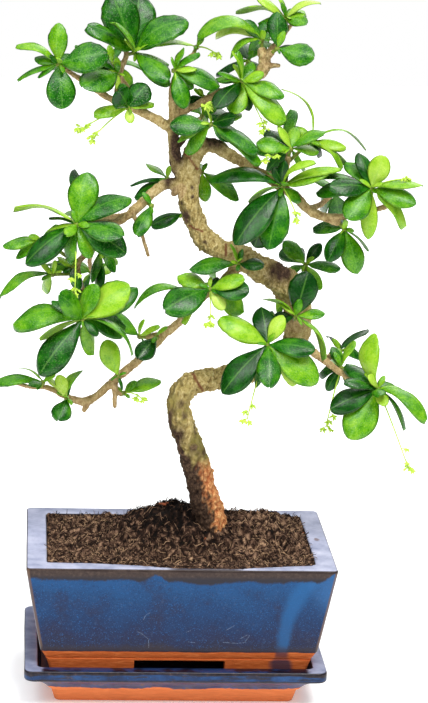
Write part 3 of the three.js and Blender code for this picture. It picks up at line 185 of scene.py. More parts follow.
# The sprays: the middle's place, leaves as (right, up, toward, turn, tint, bend, breadth), stalks, and how
# many more leaves fill the far side
SPRAYS = {
  "left_top": {"at": [-71, -30, 312], "spare": 0, "stalks": [[-1, -40, 3]], "leaves": [
    [7, 33, 0, 10, 0.35, 0.1, 0.6], [34, 17, -4, 25, 0.1, 0.16], [31, -8, 6, 25, 0.2, 0.1, 0.6],
    [31, -18, -4, 10, 0.1], [-32, -25, 6, 20, 0.15], [-23, -4, -8, 60, 0.5], [-18, 5, -10, 60, 0.1],
    [-40, 11, -6, 70, 0.65, 0.16], [-6, -7, 14, 0, 0.4], [-5, -24, -4, 40, 0.2], [9, -21, 2, 30, 0.25]]},
  "left_edge": {"at": [-93, -14, 299], "spare": 1, "leaves": [[-25, -4, 0, 40, 0.35],
    [-17, -12, -4, 30, 0.35]]},
  "left_fork": {"at": [-58, -8, 292], "spare": 1, "leaves": [[-2, -26, 4, 60, 0.3],
    [-6, -22, 6, 50, 0.15], [9, -14, 0, 30, 0.4], [15, -13, -6, 75, 0.6]]},
  "left_middle": {"at": [-71, -14, 281], "spare": 1, "leaves": [[-16, 2, 2, 75, 0.2],
    [-10, 7, 4, 45, 0.8], [-7, -5, 6, 20, 0.3], [6, -18, -4, 40, 0.2]]},
  "left_outer": {"at": [-86, -22, 278], "spare": 1, "leaves": [[-34, -14, 0, 50, 0.25, 0.22],
    [-8, 8, 4, 30, 0.85], [3, 11, -2, 40, 0.6]]},
  "left_low": {"at": [-68, -34, 251], "spare": 1, "leaves": [[30, 22, 6, 10, 0.62, 0.1, 0.6],
    [9, 23, -6, 20, 0.35], [33, 20, -14, 20, 0.2], [-44, -3, 0, 35, 0.28, 0.2], [-19, 12, -4, 40, 0.1],
    [-6, 8, 10, 20, 0.8], [-27, -35, 6, 5, 0.05], [-27, -12, -6, 85, 0.6], [32, -22, -2, 75, 0.3, 0.26],
    [36, -7, -8, 15, 0.15, 0.1, 0.6], [10, -10, 2, 20, 0.05], [-22, 26, 2, 10, 0.3],
    [-6, 26, -4, 30, 0.1]]},
  "low_knee": {"at": [-26, 0, 233], "spare": 0, "leaves": [[-22, 15, 2, 15, 0.35], [-15, 5, -3, 70, 0.7],
    [14, 8, 0, 45, 0.55]]},
  "low_knee_front": {"at": [-18, -8, 235], "spare": 0, "leaves": [[-11, -14, 12, 0, 0.05, 0.07, 0.62]]},
  "low_heart": {"at": [-42, -9, 209], "spare": 0, "leaves": [[-8, 23, 10, 10, 0.65, 0.07, 0.56],
    [3, -9, -2, 60, 0.1]]},
  "low_stub": {"at": [-39, -1, 195], "spare": 0, "stalks": [[11, -3, 4]], "leaves": [[8, 8, 2, 20, 0.25],
    [24, 8, -2, 35, 0.5]]},
  "low_left": {"at": [-76, -14, 196], "spare": 0, "leaves": [[-5, 15, 8, 10, 0.75],
    [-13, 14, -4, 60, 0.9], [2, 11, 2, 45, 0.05], [-5, -14, 8, 0, 0.2, 0.07, 0.8],
    [10, 18, -4, 50, 0.5, 0.28]]},
  "low_left_edge": {"at": [-91, -22, 207], "spare": 0, "leaves": [[-31, 1, 0, 50, 0.4, 0.14],
    [-16, 9, -6, 75, 0.5, 0.18], [-8, -2, 10, 20, 0.15]]},
  "middle": {"at": [15, -17, 269], "spare": 1, "stalks": [[0, -21, 4]], "leaves": [[-21, 9, -6, 15, 0.5],
    [-32, -15, 8, 15, 0.15, 0.1, 0.62], [-18, -21, -6, 70, 0.7], [9, -13, 4, 10, 0.8],
    [5, 8, -4, 30, 0.05], [25, -1, 8, 10, 0.2, 0.1, 0.62], [23, 8, -4, 20, 0.45]]},
  "middle_left": {"at": [1, 2, 263], "spare": 1, "leaves": [[-34, -10, 0, 60, 0.3, 0.3]]},
  "middle_right": {"at": [33, -12, 285], "spare": 1, "leaves": [[-32, -4, 4, 30, 0.1],
    [16, -1, 8, 10, 0.1], [-5, 13, -2, 70, 0.5], [2, 9, -4, 40, 0.15]]},
  "right_up": {"at": [79, 14, 278], "spare": 1, "leaves": [[-14, 16, -4, 0, 0.45], [10, 14, 0, 0, 0.1],
    [23, -2, 0, 25, 0.15], [-13, -6, 2, 20, 0.2], [10, -16, -6, 30, 0.4]]},
  "right_middle": {"at": [71, -12, 251], "spare": 1, "leaves": [[8, 29, 4, 0, 0.12, 0.07, 0.64],
    [19, 2, 0, 35, 0.5], [-21, 11, -4, 80, 0.6, 0.2], [-10, 9, -2, 60, 0.7],
    [20, -27, -4, 80, 0.6, 0.2]]},
  "right_front": {"at": [52, -30, 236], "spare": 1, "stalks": [[-13, -47, 4]], "leaves": [
    [-31, 17, 4, 25, 0.6, 0.12], [-4, 26, -8, 5, 0.05], [10, 19, 2, 15, 0.75], [30, -3, 10, 15, 0.25],
    [32, -24, 4, 5, 0.35], [19, -26, 2, 55, 0.85], [-29, -31, 6, 15, 0.08], [-8, -27, 0, 55, 0.1],
    [1, -31, 4, 10, 0.12], [-9, 4, -8, 20, 0.1]]},
  "right_twig": {"at": [103, 0, 214], "spare": 1, "stalks": [[-10, -38, 4]], "leaves": [
    [-6, 14, 0, 20, 0.05], [-1, 17, -6, 50, 0.4], [9, 18, -8, 60, 0.6], [-9, -14, 6, 10, 0.15],
    [-21, -6, -4, 20, 0.1]]},
  "right_end": {"at": [125, -25, 207], "spare": 1, "stalks": [[19, -50, 4]], "leaves": [
    [-3, 36, -2, -55, 0.6, 0.22], [-23, 19, -4, 35, 0.25], [-25, 6, -2, 45, 0.05],
    [-31, -13, 4, 10, 0.12], [-19, -32, 6, 0, 0.3, 0.07, 0.6], [21, -5, -6, 60, 0.45, 0.2],
    [32, -20, -8, 50, 0.4, 0.22], [18, -26, 0, 75, 0.3, 0.15], [5, -13, 8, 0, 0.8], [-7, 10, 6, 30, 0.9],
    [0, -4, 17, 0, 0.35]]},
  "upper_right": {"at": [63, -18, 361], "spare": 1, "stalks": [[-14, -6, 6]], "leaves": [
    [-22, 3, 6, 15, 0.4, 0.1, 0.6], [-8, 15, 4, 40, 0.7], [4, 17, -2, 0, 0.35],
    [22, 11, -2, 35, 0.4, 0.15], [18, -1, -8, 30, 0.4], [-18, 15, -8, 30, 0.1], [-29, 12, -6, 20, 0.5]]},
  "upper_right_back": {"at": [78, 8, 362], "spare": 1, "leaves": [[36, -5, -2, 70, 0.5, 0.3, 0.36],
    [23, -4, 4, 30, 0.6], [24, -13, -2, 75, 0.5], [21, -17, 4, 60, 0.6, 0.2],
    [-18, 34, -2, 80, 0.65, 0.28, 0.3], [8, -4, 8, 30, 0.6], [15, -15, 0, 20, 0.1]]},
  "upper_node": {"at": [59, -16, 336], "spare": 1, "stalks": [[9, -19, 6]], "leaves": [
    [-47, 5, -2, 35, 0.2, 0.2, 0.34], [-22, -9, 0, 85, 0.4, 0.16], [-31, -38, 4, 15, 0.12, 0.1, 0.44],
    [-9, -40, 6, 5, 0.25], [-18, -38, -4, 10, 0.05], [-6, 13, -2, 20, 0.05], [1, 18, 2, 30, 0.05],
    [37, 12, 2, 60, 0.6, 0.15], [24, 19, 2, 55, 0.7, 0.22, 0.36], [30, 10, 6, 50, 0.5],
    [12, -9, -4, 10, 0.5], [-9, 9, -6, 80, 0.4]]},
  "far_right": {"at": [115, -22, 337], "spare": 1, "stalks": [[21, 6, 4]], "leaves": [
    [-8, 23, -2, 20, 0.15], [8, 22, 0, 0, 0.85, 0.07, 0.62], [-43, 12, -6, 60, 0.15, 0.1],
    [-16, -20, 12, 0, 0.3, 0.07, 0.62], [28, -10, 6, 10, 0.35], [32, 2, -6, 50, 0.4, 0.12],
    [14, 6, 4, 50, 0.7], [23, -24, -2, 50, 0.5, 0.16], [-2, -32, -4, 20, 0.55, 0.07, 0.36],
    [-30, 0, 0, 20, 0.1], [-36, -2, -6, 30, 0.25], [-17, 19, 4, 20, 0.3]]},
  "far_right_low": {"at": [101, -6, 308], "spare": 1, "leaves": [[-26, 2, 4, 20, 0.15],
    [-20, 5, -4, 50, 0.1], [-10, 11, 0, 0, 0.1], [-11, -21, 4, 0, 0.25], [9, -29, 0, 5, 0.35],
    [16, -14, -4, 80, 0.4]]},
  "crown_left": {"at": [-85, -25, 412], "spare": 1, "leaves": [[-26, 12, 0, 50, 0.35, 0.2],
    [-15, 5, -6, 20, 0.4], [-5, 5, 6, 30, 0.1], [-28, -9, -2, 50, 0.35], [-13, -8, 2, 40, 0.3],
    [3, -28, 4, 5, 0.12, 0.1, 0.66], [31, 6, 8, 5, 0.12, 0.1, 0.64], [0, 25, -6, 20, 0.35],
    [-5, 16, 0, 70, 0.6], [12, 23, -8, 20, 0.3]]},
  "crown_spur": {"at": [-47, -10, 405], "spare": 1, "leaves": [[-28, -15, 13, 10, 0.2, 0.1, 0.6],
    [-25, 4, -4, 20, 0.02], [0, -10, 4, 50, 0.8], [-1, 10, 4, 30, 0.6], [-27, 18, -2, 50, 0.3]]},
  "crown_top": {"at": [-38, 0, 417], "spare": 1, "leaves": [[-14, 37, 0, 0, 0.1, 0.1, 0.62],
    [3, 39, -2, 0, 0.12, 0.07, 0.62], [-22, 31, 8, 60, 0.42], [12, 7, 8, 45, 0.5],
    [34, 20, -4, 20, 0.2, 0.2, 0.6], [24, -20, 0, 30, 0.25, 0.1, 0.6], [24, -21, 6, 20, 0.35],
    [22, -7, -4, 70, 0.5], [14, -16, -4, 70, 0.1], [-33, 17, -6, 40, 0.3], [-8, 9, -6, 40, 0.4]]},
  "crown_low": {"at": [-41, -16, 385], "spare": 1, "stalks": [[-28, -13, 4], [-22, -19, 2]], "leaves": [
    [-8, 14, 12, 0, 0.2, 0.07, 0.8], [-4, 16, -2, 10, 0.1], [12, 15, 2, 0, 0.03, 0.07, 0.85],
    [18, 4, 0, 25, 0.5], [-22, -5, 0, 25, 0.5], [2, -10, 6, 10, 0.85]]},
  "crown_middle": {"at": [-11, -9, 407], "spare": 1, "leaves": [[-17, 17, 0, 20, 0.1],
    [-3, 14, 4, 60, 0.4], [6, 15, -4, 50, 0.4], [16, 12, 2, 40, 0.42], [14, 1, 4, 30, 0.55],
    [7, -24, 4, 5, 0.3], [13, -11, -4, 20, 0.35], [29, -9, -6, 20, 0.25], [-6, 10, -8, 30, 0.2]]},
  "crown_twig": {"at": [2, 4, 420], "spare": 0, "stalks": [[12, -4, 3]], "leaves": [
    [-30, 2, 12, 60, 0.6, 0.12], [4, 8, 0, 40, 0.5]]},
  "crown_right": {"at": [44, 4, 424], "spare": 1, "leaves": [[-11, 12, 4, 10, 0.1], [2, 13, 0, 10, 0.2],
    [2, 7, 6, 20, 0.5], [-20, -12, 4, 50, 0.4, 0.3], [-42, 1, -2, 45, 0.35, 0.34, 0.56],
    [-32, 6, 4, 30, 0.85, 0.32, 0.58]]},
  "crown_right_top": {"at": [60, 16, 439], "spare": 1, "leaves": [[-32, 5, -2, 75, 0.5, 0.2],
    [-19, 14, 2, 40, 0.8], [-4, 15, -2, 60, 0.6], [12, 3, 4, 20, 0.4], [22, 11, 0, 50, 0.8, 0.24],
    [18, -6, -2, 20, 0.3], [-10, -10, 12, 0, 0.05, 0.07, 0.75], [-18, -2, 2, 30, 0.35],
    [5, -15, 4, 35, 0.35]]},
  "crown_right_front": {"at": [52, -6, 422], "spare": 1, "leaves": [[23, -6, 6, 5, 0.25, 0.07, 0.66],
    [13, 3, -4, 60, 0.02]]},
  "crown_right_low": {"at": [31, -8, 401], "spare": 1, "stalks": [[15, -30, 4]], "leaves": [
    [-7, 21, -2, 75, 0.5, 0.14], [-2, 20, 4, 60, 0.45], [8, 16, -2, 20, 0.2], [14, 5, 6, 10, 0.5],
    [27, -9, 4, 20, 0.4], [28, -25, -2, 30, 0.5], [-15, 6, 4, 40, 0.35], [-20, 5, -6, 30, 0.2],
    [-14, 0, 0, 60, 0.3], [-5, -21, 8, 0, 0.55, 0.07, 0.62], [-20, -22, 2, 20, 0.1],
    [5, -18, -2, 10, 0.05], [10, -5, 8, 50, 0.5]]},
  "heart": {"at": [12, -20, 376], "spare": 1, "stalks": [[-4, 11, 5]], "leaves": [
    [-26, -1, 6, 15, 0.05, 0.07, 0.62], [18, 4, 4, 5, 0.05, 0.07, 0.62], [32, -24, 2, 50, 0.35],
    [30, -18, -3, 45, 0.25], [10, -10, 8, 20, 0.02], [36, -8, -8, 45, 0.35], [-17, -17, -14, 30, 0.25],
    [20, 8, -6, 30, 0.35]]},
  "heart_top": {"at": [8, 2, 390], "spare": 0, "leaves": [[-8, -2, 8, 0, 0.05], [-6, 5, 4, 30, 0.5],
    [6, 2, 6, 50, 0.05]]},
  "crotch": {"at": [-13, 12, 335], "spare": 0, "leaves": [[-14, 10, 0, 50, 0.3, 0.1, 0.6],
    [-24, -4, -2, 55, 0.15], [-21, -12, 4, 45, 0.15]]},
  "trunk_side": {"at": [-2, 10, 313], "spare": 0, "leaves": [[-21, -8, 0, 20, 0.15]]},
  "branch_under": {"at": [-26, -12, 323], "spare": 0, "leaves": [[-10, -21, 4, 20, 0.25]]},
  "trunk_back": {"at": [9, 12, 340], "spare": 1, "leaves": [[3, -19, 0, 20, 0.4],
    [24, -18, 0, 30, 0.35]]},
}

# Sprays on the far side, all of whose leaves are laid by the rule: the middle's place, and how many
FAR_SPRAYS = {
    "far_left_high": (-64, 22, 310, 4),
    "far_left_low": (-60, 23, 270, 4),
    "far_crown_left": (-49, 35, 405, 4),
    "far_crown_middle": (9, 30, 373, 4),
    "far_crown_right": (38, 33, 409, 4),
    "far_middle": (22, 28, 280, 3),
    "far_upper_right": (67, 31, 353, 4),
    "far_right_back": (97, 28, 325, 4),
    "far_low": (65, 41, 238, 4),
    "far_low_right": (105, 23, 220, 4),
}
for far_name, (*far_place, far_leaves) in FAR_SPRAYS.items():
    SPRAYS[far_name] = {"at": far_place, "spare": far_leaves, "leaves": []}


# Frame, camera, floor and light

def view_axes(yaw, pitch, roll):
    """Right, up and toward the viewer, of a level camera turned by these angles."""
    away = np.array([math.sin(yaw) * math.cos(pitch), math.cos(yaw) * math.cos(pitch), -math.sin(pitch)])
    level = np.array([math.cos(yaw), -math.sin(yaw), 0.0])
    upright = np.cross(level, away)
    right = level * math.cos(roll) + upright * math.sin(roll)
    up = upright * math.cos(roll) - level * math.sin(roll)
    return right, up, -away


def make_camera():
    right, up, toward = view_axes(VIEW_YAW, VIEW_PITCH, VIEW_ROLL)
    data = bpy.data.cameras.new("camera")
    data.sensor_fit = "VERTICAL"
    data.sensor_height = 36
    data.lens = CAMERA_LENS
    data.clip_start = 0.05
    camera = bpy.data.objects.new("camera", data)
    turn = Matrix((right, up, toward)).transposed().to_4x4()
    camera.matrix_world = Matrix.Translation(Vector(CAMERA_PLACE) * MM) @ turn
    bpy.context.scene.collection.objects.link(camera)
    bpy.context.scene.camera = camera


def make_lamp(kind, name, place, power, **settings):
    """A lamp at a place in metres, aimed at the tree's middle."""
    data = bpy.data.lights.new(name, kind)
    data.energy = power
    for key, value in settings.items():
        setattr(data, key, value)
    lamp = bpy.data.objects.new(name, data)
    lamp.location = place
    lamp.rotation_euler = (Vector(LIT_MIDDLE) - Vector(place)).to_track_quat("-Z", "Y").to_euler()
    bpy.context.scene.collection.objects.link(lamp)


def make_sky():
    """White all round where it is seen, brighter overhead than at the sides where it lights, and more so
    where it is mirrored."""
    world = bpy.data.worlds.new("studio")
    bpy.context.scene.world = world
    world.use_nodes = True
    tree = world.node_tree
    seen = tree.nodes["Background"]
    seen.inputs["Color"].default_value = (1, 1, 1, 1)
    upward = Shade(tree, node(tree, "TexCoord").outputs["Generated"]).axes()[2]
    lighting = node(tree, "Background", {"Color": upward.ramp(
        (0.0, 0.27, 0.28, 0.29, 1), (0.35, 0.45, 0.46, 0.47, 1), (0.8, 1.0, 1.0, 1.0, 1))})
    ray = node(tree, "LightPath").outputs
    mirrored = upward.between(0.4, 0.95) * 1.5 - 0.85
    strength = Shade(tree, ray["Is Glossy Ray"]) * mirrored + 1.0
    tree.links.new(strength.socket, lighting.inputs["Strength"])
    both = node(tree, "MixShader", {0: ray["Is Camera Ray"], 1: lighting.outputs[0], 2: seen.outputs[0]})
    tree.links.new(both.outputs[0], tree.nodes["World Output"].inputs["Surface"])


def make_studio():
    bpy.context.scene.view_settings.view_transform = "Standard"
    make_sky()
    make_lamp("SUN", "key", (0.45, -1.0, 1.9), 2.5, angle=KEY_ANGLE, color=(1.0, 0.99, 0.96))
    make_lamp("AREA", "window", (-0.8, -1.2, 1.5), 15, size=0.7, color=(0.97, 0.99, 1.0))
    make_lamp("AREA", "back", (0.6, 1.3, 1.3), 9, size=1.0, color=(1.0, 1.0, 0.98))
    bpy.ops.mesh.primitive_plane_add(size=6, location=(0, 0, 0))
    floor = bpy.context.object
    floor.name = "floor"
    look = Look("floor_white", 0.6)
    look.shader.inputs["Emission Strength"].default_value = 0.2
    look.shader.inputs["Emission Color"].default_value = (1, 1, 1, 1)
    grain = look.place.noise(60, 4)
    floor.data.materials.append(look.painted(grain.ramp((0.3, 248, 249, 250), (0.7, 253, 253, 253))))


# Shader building

def srgb(red, green, blue):
    """A colour as it looks on a screen, 0 to 255, as the linear one that a shader takes."""
    def linear(value):
        share = value / 255
        return share / 12.92 if share <= 0.04045 else ((share + 0.055) / 1.055) ** 2.4
    return (linear(red), linear(green), linear(blue), 1.0)


def node(tree, kind, inputs=(), **settings):
    """A new shader node, its settings, and its inputs by number or name, each a value or another's output."""
    made = tree.nodes.new("ShaderNode" + kind)
    for key, value in settings.items():
        setattr(made, key, value)
    for index, value in dict(inputs).items():
        source = value.socket if isinstance(value, Shade) else value
        if isinstance(source, bpy.types.NodeSocket):
            tree.links.new(source, made.inputs[index])
        else:
            made.inputs[index].default_value = source
    return made


class Shade:
    """A shader node's output, reckoned with as a number, a place or a colour. Each step adds a node."""

    def __init__(self, tree, socket):
        self.tree = tree
        self.socket = socket

    def through(self, kind, inputs, output=0, **settings):
        return Shade(self.tree, node(self.tree, kind, inputs, **settings).outputs[output])

    def maths(self, kind, first, second=0.0):
        return self.through("Math", {0: first, 1: second}, operation=kind)

    def __add__(self, other):
        return self.maths("ADD", self, other)

    def __sub__(self, other):
        return self.maths("SUBTRACT", self, other)

    def __rsub__(self, other):
        return self.maths("SUBTRACT", other, self)

    def __mul__(self, other):
        return self.maths("MULTIPLY", self, other)

    def __truediv__(self, other):
        return self.maths("DIVIDE", self, other)

    def __abs__(self):
        return self.maths("ABSOLUTE", self)

    def root(self):
        return self.maths("SQRT", self)

    def at_least(self, other):
        return self.maths("MAXIMUM", self, other)

    def at_most(self, other):
        return self.maths("MINIMUM", self, other)

    def swayed(self, sway, amount):
        """Shifted up and down by a share that lies about a half."""
        return self + (sway - 0.5) * amount

    def between(self, low, high):
        """0 up to low and 1 from high on, smooth between; or the other way round where high is the less."""
        start, stop, first, last = (low, high, 0.0, 1.0) if low < high else (high, low, 1.0, 0.0)
        ends = {"From Min": start, "From Max": stop, "To Min": first, "To Max": last}
        return self.through("MapRange", {"Value": self, **ends}, "Result", interpolation_type="SMOOTHSTEP")

    def ramp(self, *stops):
        """The colour on a ramp, whose stops are a place and a colour, as on a screen or linear with alpha."""
        made = node(self.tree, "ValToRGB", {"Fac": self})
        elements = made.color_ramp.elements
        while len(elements) < len(stops):
            elements.new(0.5)
        for element, (place, *colour) in zip(elements, stops):
            element.position = place
            element.color = colour if len(colour) == 4 else srgb(*colour)
        return Shade(self.tree, made.outputs["Color"])

    def mixed(self, share, colour):
        """This colour with a share of another over it."""
        over = colour if isinstance(colour, Shade) else srgb(*colour)
        return self.through("Mix", {0: share, 6: self, 7: over}, 2, data_type="RGBA")

    def stretched(self, *scale):
        return self.through("Mapping", {"Vector": self, "Scale": scale})

    def noise(self, scale, detail=3, roughness=0.55):
        """Smooth noise about a half, with so many blots to the metre."""
        inputs = {"Vector": self, "Scale": scale, "Detail": detail, "Roughness": roughness}
        return self.through("TexNoise", inputs, "Fac")

    def axes(self):
        made = node(self.tree, "SeparateXYZ", {0: self})
        return [Shade(self.tree, socket) for socket in made.outputs]

    def millimetres(self):
        """The three coordinates of this place, in millimetres."""
        return [axis / MM for axis in self.axes()]


class Look:
    """A material in the making, and the place that its colours depend on."""

    def __init__(self, name, roughness, gloss=0.5):
        self.material = bpy.data.materials.new(name)
        self.material.use_nodes = True
        self.tree = self.material.node_tree
        self.shader = self.tree.nodes["Principled BSDF"]
        self.shader.inputs["Roughness"].default_value = roughness
        self.shader.inputs["Specular IOR Level"].default_value = gloss
        self.place = Shade(self.tree, node(self.tree, "TexCoord").outputs["Object"])

    def attribute(self, name):
        return Shade(self.tree, node(self.tree, "Attribute", attribute_name=name).outputs["Fac"])

    def normal(self):
        return Shade(self.tree, node(self.tree, "NewGeometry").outputs["Normal"]).axes()

    def painted(self, colour, roughness=None, height=None, strength=0.4, distance=0.001):
        """The finished material, with its colour and, where they are given, its roughness and relief."""
        links, inputs = self.tree.links, self.shader.inputs
        links.new(colour.socket, inputs["Base Color"])
        if roughness is not None:
            links.new(roughness.socket, inputs["Roughness"])
        if height is not None:
            bump = node(self.tree, "Bump", {"Height": height, "Strength": strength, "Distance": distance})
            links.new(bump.outputs[0], inputs["Normal"])
        return self.material


# Meshes

def clamped(value):
    return min(1.0, max(0.0, value))


def placed(name, vertices, faces):
    """An object in the model's frame, from vertices in millimetres."""
    mesh = bpy.data.meshes.new(name)
    mesh.from_pydata((np.asarray(vertices, float) * MM).tolist(), [], faces)
    piece = bpy.data.objects.new(name, mesh)
    bpy.context.scene.collection.objects.link(piece)
    return piece


def add_attribute(mesh, name, values):
    mesh.attributes.new(name, "FLOAT", "POINT").data.foreach_set("value", values)


def new_piece(name, vertices, faces, materials, nodes, sharp=None):
    """A piece that stands for these nodes of the model."""
    piece = placed(name, vertices, faces)
    piece.data.validate()
    finish_piece(piece, materials, nodes, sharp)
    return piece


def finish_piece(piece, materials, nodes, sharp=None):
    for material in materials:
        piece.data.materials.append(material)
    piece.data.polygons.foreach_set("use_smooth", [True] * len(piece.data.polygons))
    if sharp:
        piece.data.set_sharp_from_angle(angle=math.radians(sharp))
    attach(piece, "root")
    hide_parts(*nodes)


def applied(piece):
    """Bakes a piece's modifiers into its mesh."""
    bpy.context.view_layer.update()
    whole = piece.evaluated_get(bpy.context.evaluated_depsgraph_get())
    mesh = bpy.data.meshes.new_from_object(whole)
    piece.modifiers.clear()
    piece.data = mesh


def rounded_ring(half_width, half_depth, radius, corner_steps, side_steps):
    """Corners of a rounded rectangle, anticlockwise, with the straight sides split up too."""
    points = []
    for quarter in range(4):
        sign_x = 1 if quarter in (0, 3) else -1
        sign_y = 1 if quarter < 2 else -1
        for step in range(corner_steps + 1):
            angle = (quarter + step / corner_steps) * math.pi / 2
            points.append((sign_x * (half_width - radius) + radius * math.cos(angle),
                           sign_y * (half_depth - radius) + radius * math.sin(angle)))
        after = {0: (-(half_width - radius), half_depth), 1: (-half_width, -(half_depth - radius)),
                 2: (half_width - radius, -half_depth), 3: (half_width, half_depth - radius)}[quarter]
        start = points[-1]
        for step in range(1, side_steps):
            share = step / side_steps
            points.append(tuple(s + share * (a - s) for s, a in zip(start, after)))
    return points


def ring_faces(rings, count):
    """The walls between rings of so many corners each, and the two faces that close the ends."""
    walls = []
    for k in range(rings - 1):
        for i in range(count):
            j = (i + 1) % count
            walls.append((k * count + i, k * count + j, (k + 1) * count + j, (k + 1) * count + i))
    last = (rings - 1) * count
    return walls, [tuple(reversed(range(count))), tuple(range(last, last + count))]


def grid_faces(columns, rows):
    """The faces of a sheet with so many columns and rows."""
    wide = columns + 1
    return [(r * wide + c, r * wide + c + 1, (r + 1) * wide + c + 1, (r + 1) * wide + c)
            for r in range(rows) for c in range(columns)]


def turned_over(face):
    return (face[0], *face[:0:-1])


def stepped_box(half_width, half_depth, centre_x, steps, wave):
    """The model's stack of rounded rectangles, finer, and with a slight hand-made waviness."""
    vertices = []
    for inset, z, radius in steps:
        ring = rounded_ring(half_width - inset, half_depth - inset, radius, 6, 16)
        for x, y in ring:
            swell = wave * noise.noise(Vector((x * 0.025, y * 0.025, z * 0.03)))
            out = math.hypot(x, y)
            vertices.append((centre_x + x * (1 + swell / out), y * (1 + swell / out), z))
    walls, ends = ring_faces(len(steps), len(ring))
    return vertices, walls + ends


def graded(steps, spacing):
    """Adds steps between those that lie further apart than the spacing."""
    fine = [steps[0]]
    for before, after in zip(steps, steps[1:]):
        parts = max(1, int(abs(after[1] - before[1]) / spacing))
        for part in range(1, parts + 1):
            share = part / parts
            fine.append(tuple(b + share * (a - b) for b, a in zip(before, after)))
    return fine


def tube(points, radii, sides, closed_ends=True):
    """A tube through points, as vertices and faces, with its ring turned as little as can be."""
    points = np.asarray(points, float)
    tangents = np.gradient(points, axis=0)
    tangents /= np.linalg.norm(tangents, axis=1)[:, None]
    guide = np.array([0.0, 0.0, 1.0]) if abs(tangents[0][2]) < 0.9 else np.array([1.0, 0.0, 0.0])
    vertices = []
    for point, tangent, radius in zip(points, tangents, radii):
        guide = guide - tangent * guide.dot(tangent)
        guide /= np.linalg.norm(guide)
        side = np.cross(tangent, guide)
        for i in range(sides):
            angle = 2 * math.pi * i / sides
            vertices.append(point + radius * (math.cos(angle) * guide + math.sin(angle) * side))
    walls, ends = ring_faces(len(points), sides)
    return vertices, walls + ends if closed_ends else walls


ICOSAHEDRON = [
    (0, 11, 5), (0, 5, 1), (0, 1, 7), (0, 7, 10), (0, 10, 11), (1, 5, 9), (5, 11, 4), (11, 10, 2), (10, 7, 6),
    (7, 1, 8), (3, 9, 4), (3, 4, 2), (3, 2, 6), (3, 6, 8), (3, 8, 9), (4, 9, 5), (2, 4, 11), (6, 2, 10),
    (8, 6, 7), (9, 8, 1)]


def icosahedron_corners():
    g = (1 + 5 ** 0.5) / 2
    raw = np.array([(-1, g, 0), (1, g, 0), (-1, -g, 0), (1, -g, 0), (0, -1, g), (0, 1, g), (0, -1, -g),
                    (0, 1, -g), (g, 0, -1), (g, 0, 1), (-g, 0, -1), (-g, 0, 1)], float)
    return raw / np.linalg.norm(raw[0])


BALL = icosahedron_corners()


class Builder:
    """Gathers vertices, faces, face materials and vertex attributes for one piece."""

    def __init__(self):
        self.vertices, self.faces, self.slots = [], [], []
        self.values = {}

    def add(self, vertices, faces, slot=0, **values):
        start = len(self.vertices)
        self.vertices.extend(tuple(v) for v in vertices)
        self.add_faces(start, faces, slot)
        for name, value in values.items():
            held = self.values.setdefault(name, [])
            held.extend([0.0] * (start - len(held)))
            held.extend([value] * len(vertices) if np.isscalar(value) else list(value))
        return start

    def add_faces(self, start, faces, slot):
        self.faces.extend(tuple(start + i for i in face) for face in faces)
        self.slots.extend([slot] * len(faces))

    def add_tube(self, points, radii, sides, slot):
        self.add(*tube(points, radii, sides), slot)

    def build(self, name, materials, slot, nodes):
        mesh = new_piece(name, self.vertices, self.faces, materials, nodes).data
        mesh.polygons.foreach_set("material_index", self.slots)
        for key, held in self.values.items():
            held.extend([0.0] * (len(self.vertices) - len(held)))
            add_attribute(mesh, key, held)


def cut_by(piece, cutter, size):
    """Cuts a shape, scaled to a size in millimetres, out of a piece."""
    cutter.scale = Vector(size) * MM
    bpy.context.view_layer.update()
    cut = piece.modifiers.new("cut", "BOOLEAN")
    cut.operation = "DIFFERENCE"
    cut.solver = "EXACT"
    cut.object = cutter
    applied(piece)
    bpy.data.objects.remove(cutter)


def cut_boxes(piece, boxes):
    """Cuts boxes, each a middle and a size in millimetres, out of a piece."""
    for middle, size in boxes:
        bpy.ops.mesh.primitive_cube_add(size=1, location=Vector(middle) * MM)
        cut_by(piece, bpy.context.object, size)


def cut_round_holes(piece, middles, radius, depth):
    """Cuts upright round holes, each at a middle in millimetres, out of a piece."""
    for middle in middles:
        bpy.ops.mesh.primitive_cylinder_add(vertices=32, radius=1, depth=1, location=Vector(middle) * MM)
        cut_by(piece, bpy.context.object, (radius, radius, depth))


# Glazed ceramics

# Thin pale scratches on the pot's front: (x, z) from and to
SCRATCHES = [
    (-23.8, 61.4, -22.6, 64.6), (-22.6, 64.6, -20.1, 66.2), (-27.5, 52.5, -23.5, 49.9),
    (-23.5, 49.9, -20.3, 47.2), (-20.3, 47.2, -20.1, 41.1), (29.1, 53.8, 34.2, 57.2),
    (27.5, 44.9, 36.0, 44.3), (36.0, 44.3, 42.0, 45.4), (42.0, 45.4, 44.7, 50.5),
    (38.4, 47.7, 43.5, 50.9), (5.5, 45.5, 10.5, 45.0), (4.0, 52.5, 6.5, 53.6)]


def clay_colour(place):
    colour = place.stretched(1, 1, 7).noise(120, 4, 0.6).ramp(
        (0.32, 184, 88, 38), (0.5, 202, 101, 47), (0.68, 218, 120, 64))
    return colour.mixed(place.noise(900, 3, 0.7).between(0.64, 0.76), (118, 56, 28))


def scratch_share(x, z):
    """1 on the pot's scratches and 0 off them."""
    found = 0.0
    for from_x, from_z, to_x, to_z in SCRATCHES:
        run_x, run_z = to_x - from_x, to_z - from_z
        square = run_x * run_x + run_z * run_z
        past_x, past_z = x - from_x, z - from_z
        share = (past_x * (run_x / square) + past_z * (run_z / square)).at_least(0.0).at_most(1.0)
        off_x, off_z = past_x - share * run_x, past_z - share * run_z
        far = (off_x * off_x + off_z * off_z).root()
        found = far.between(0.28, 0.08).at_least(found)
    return found


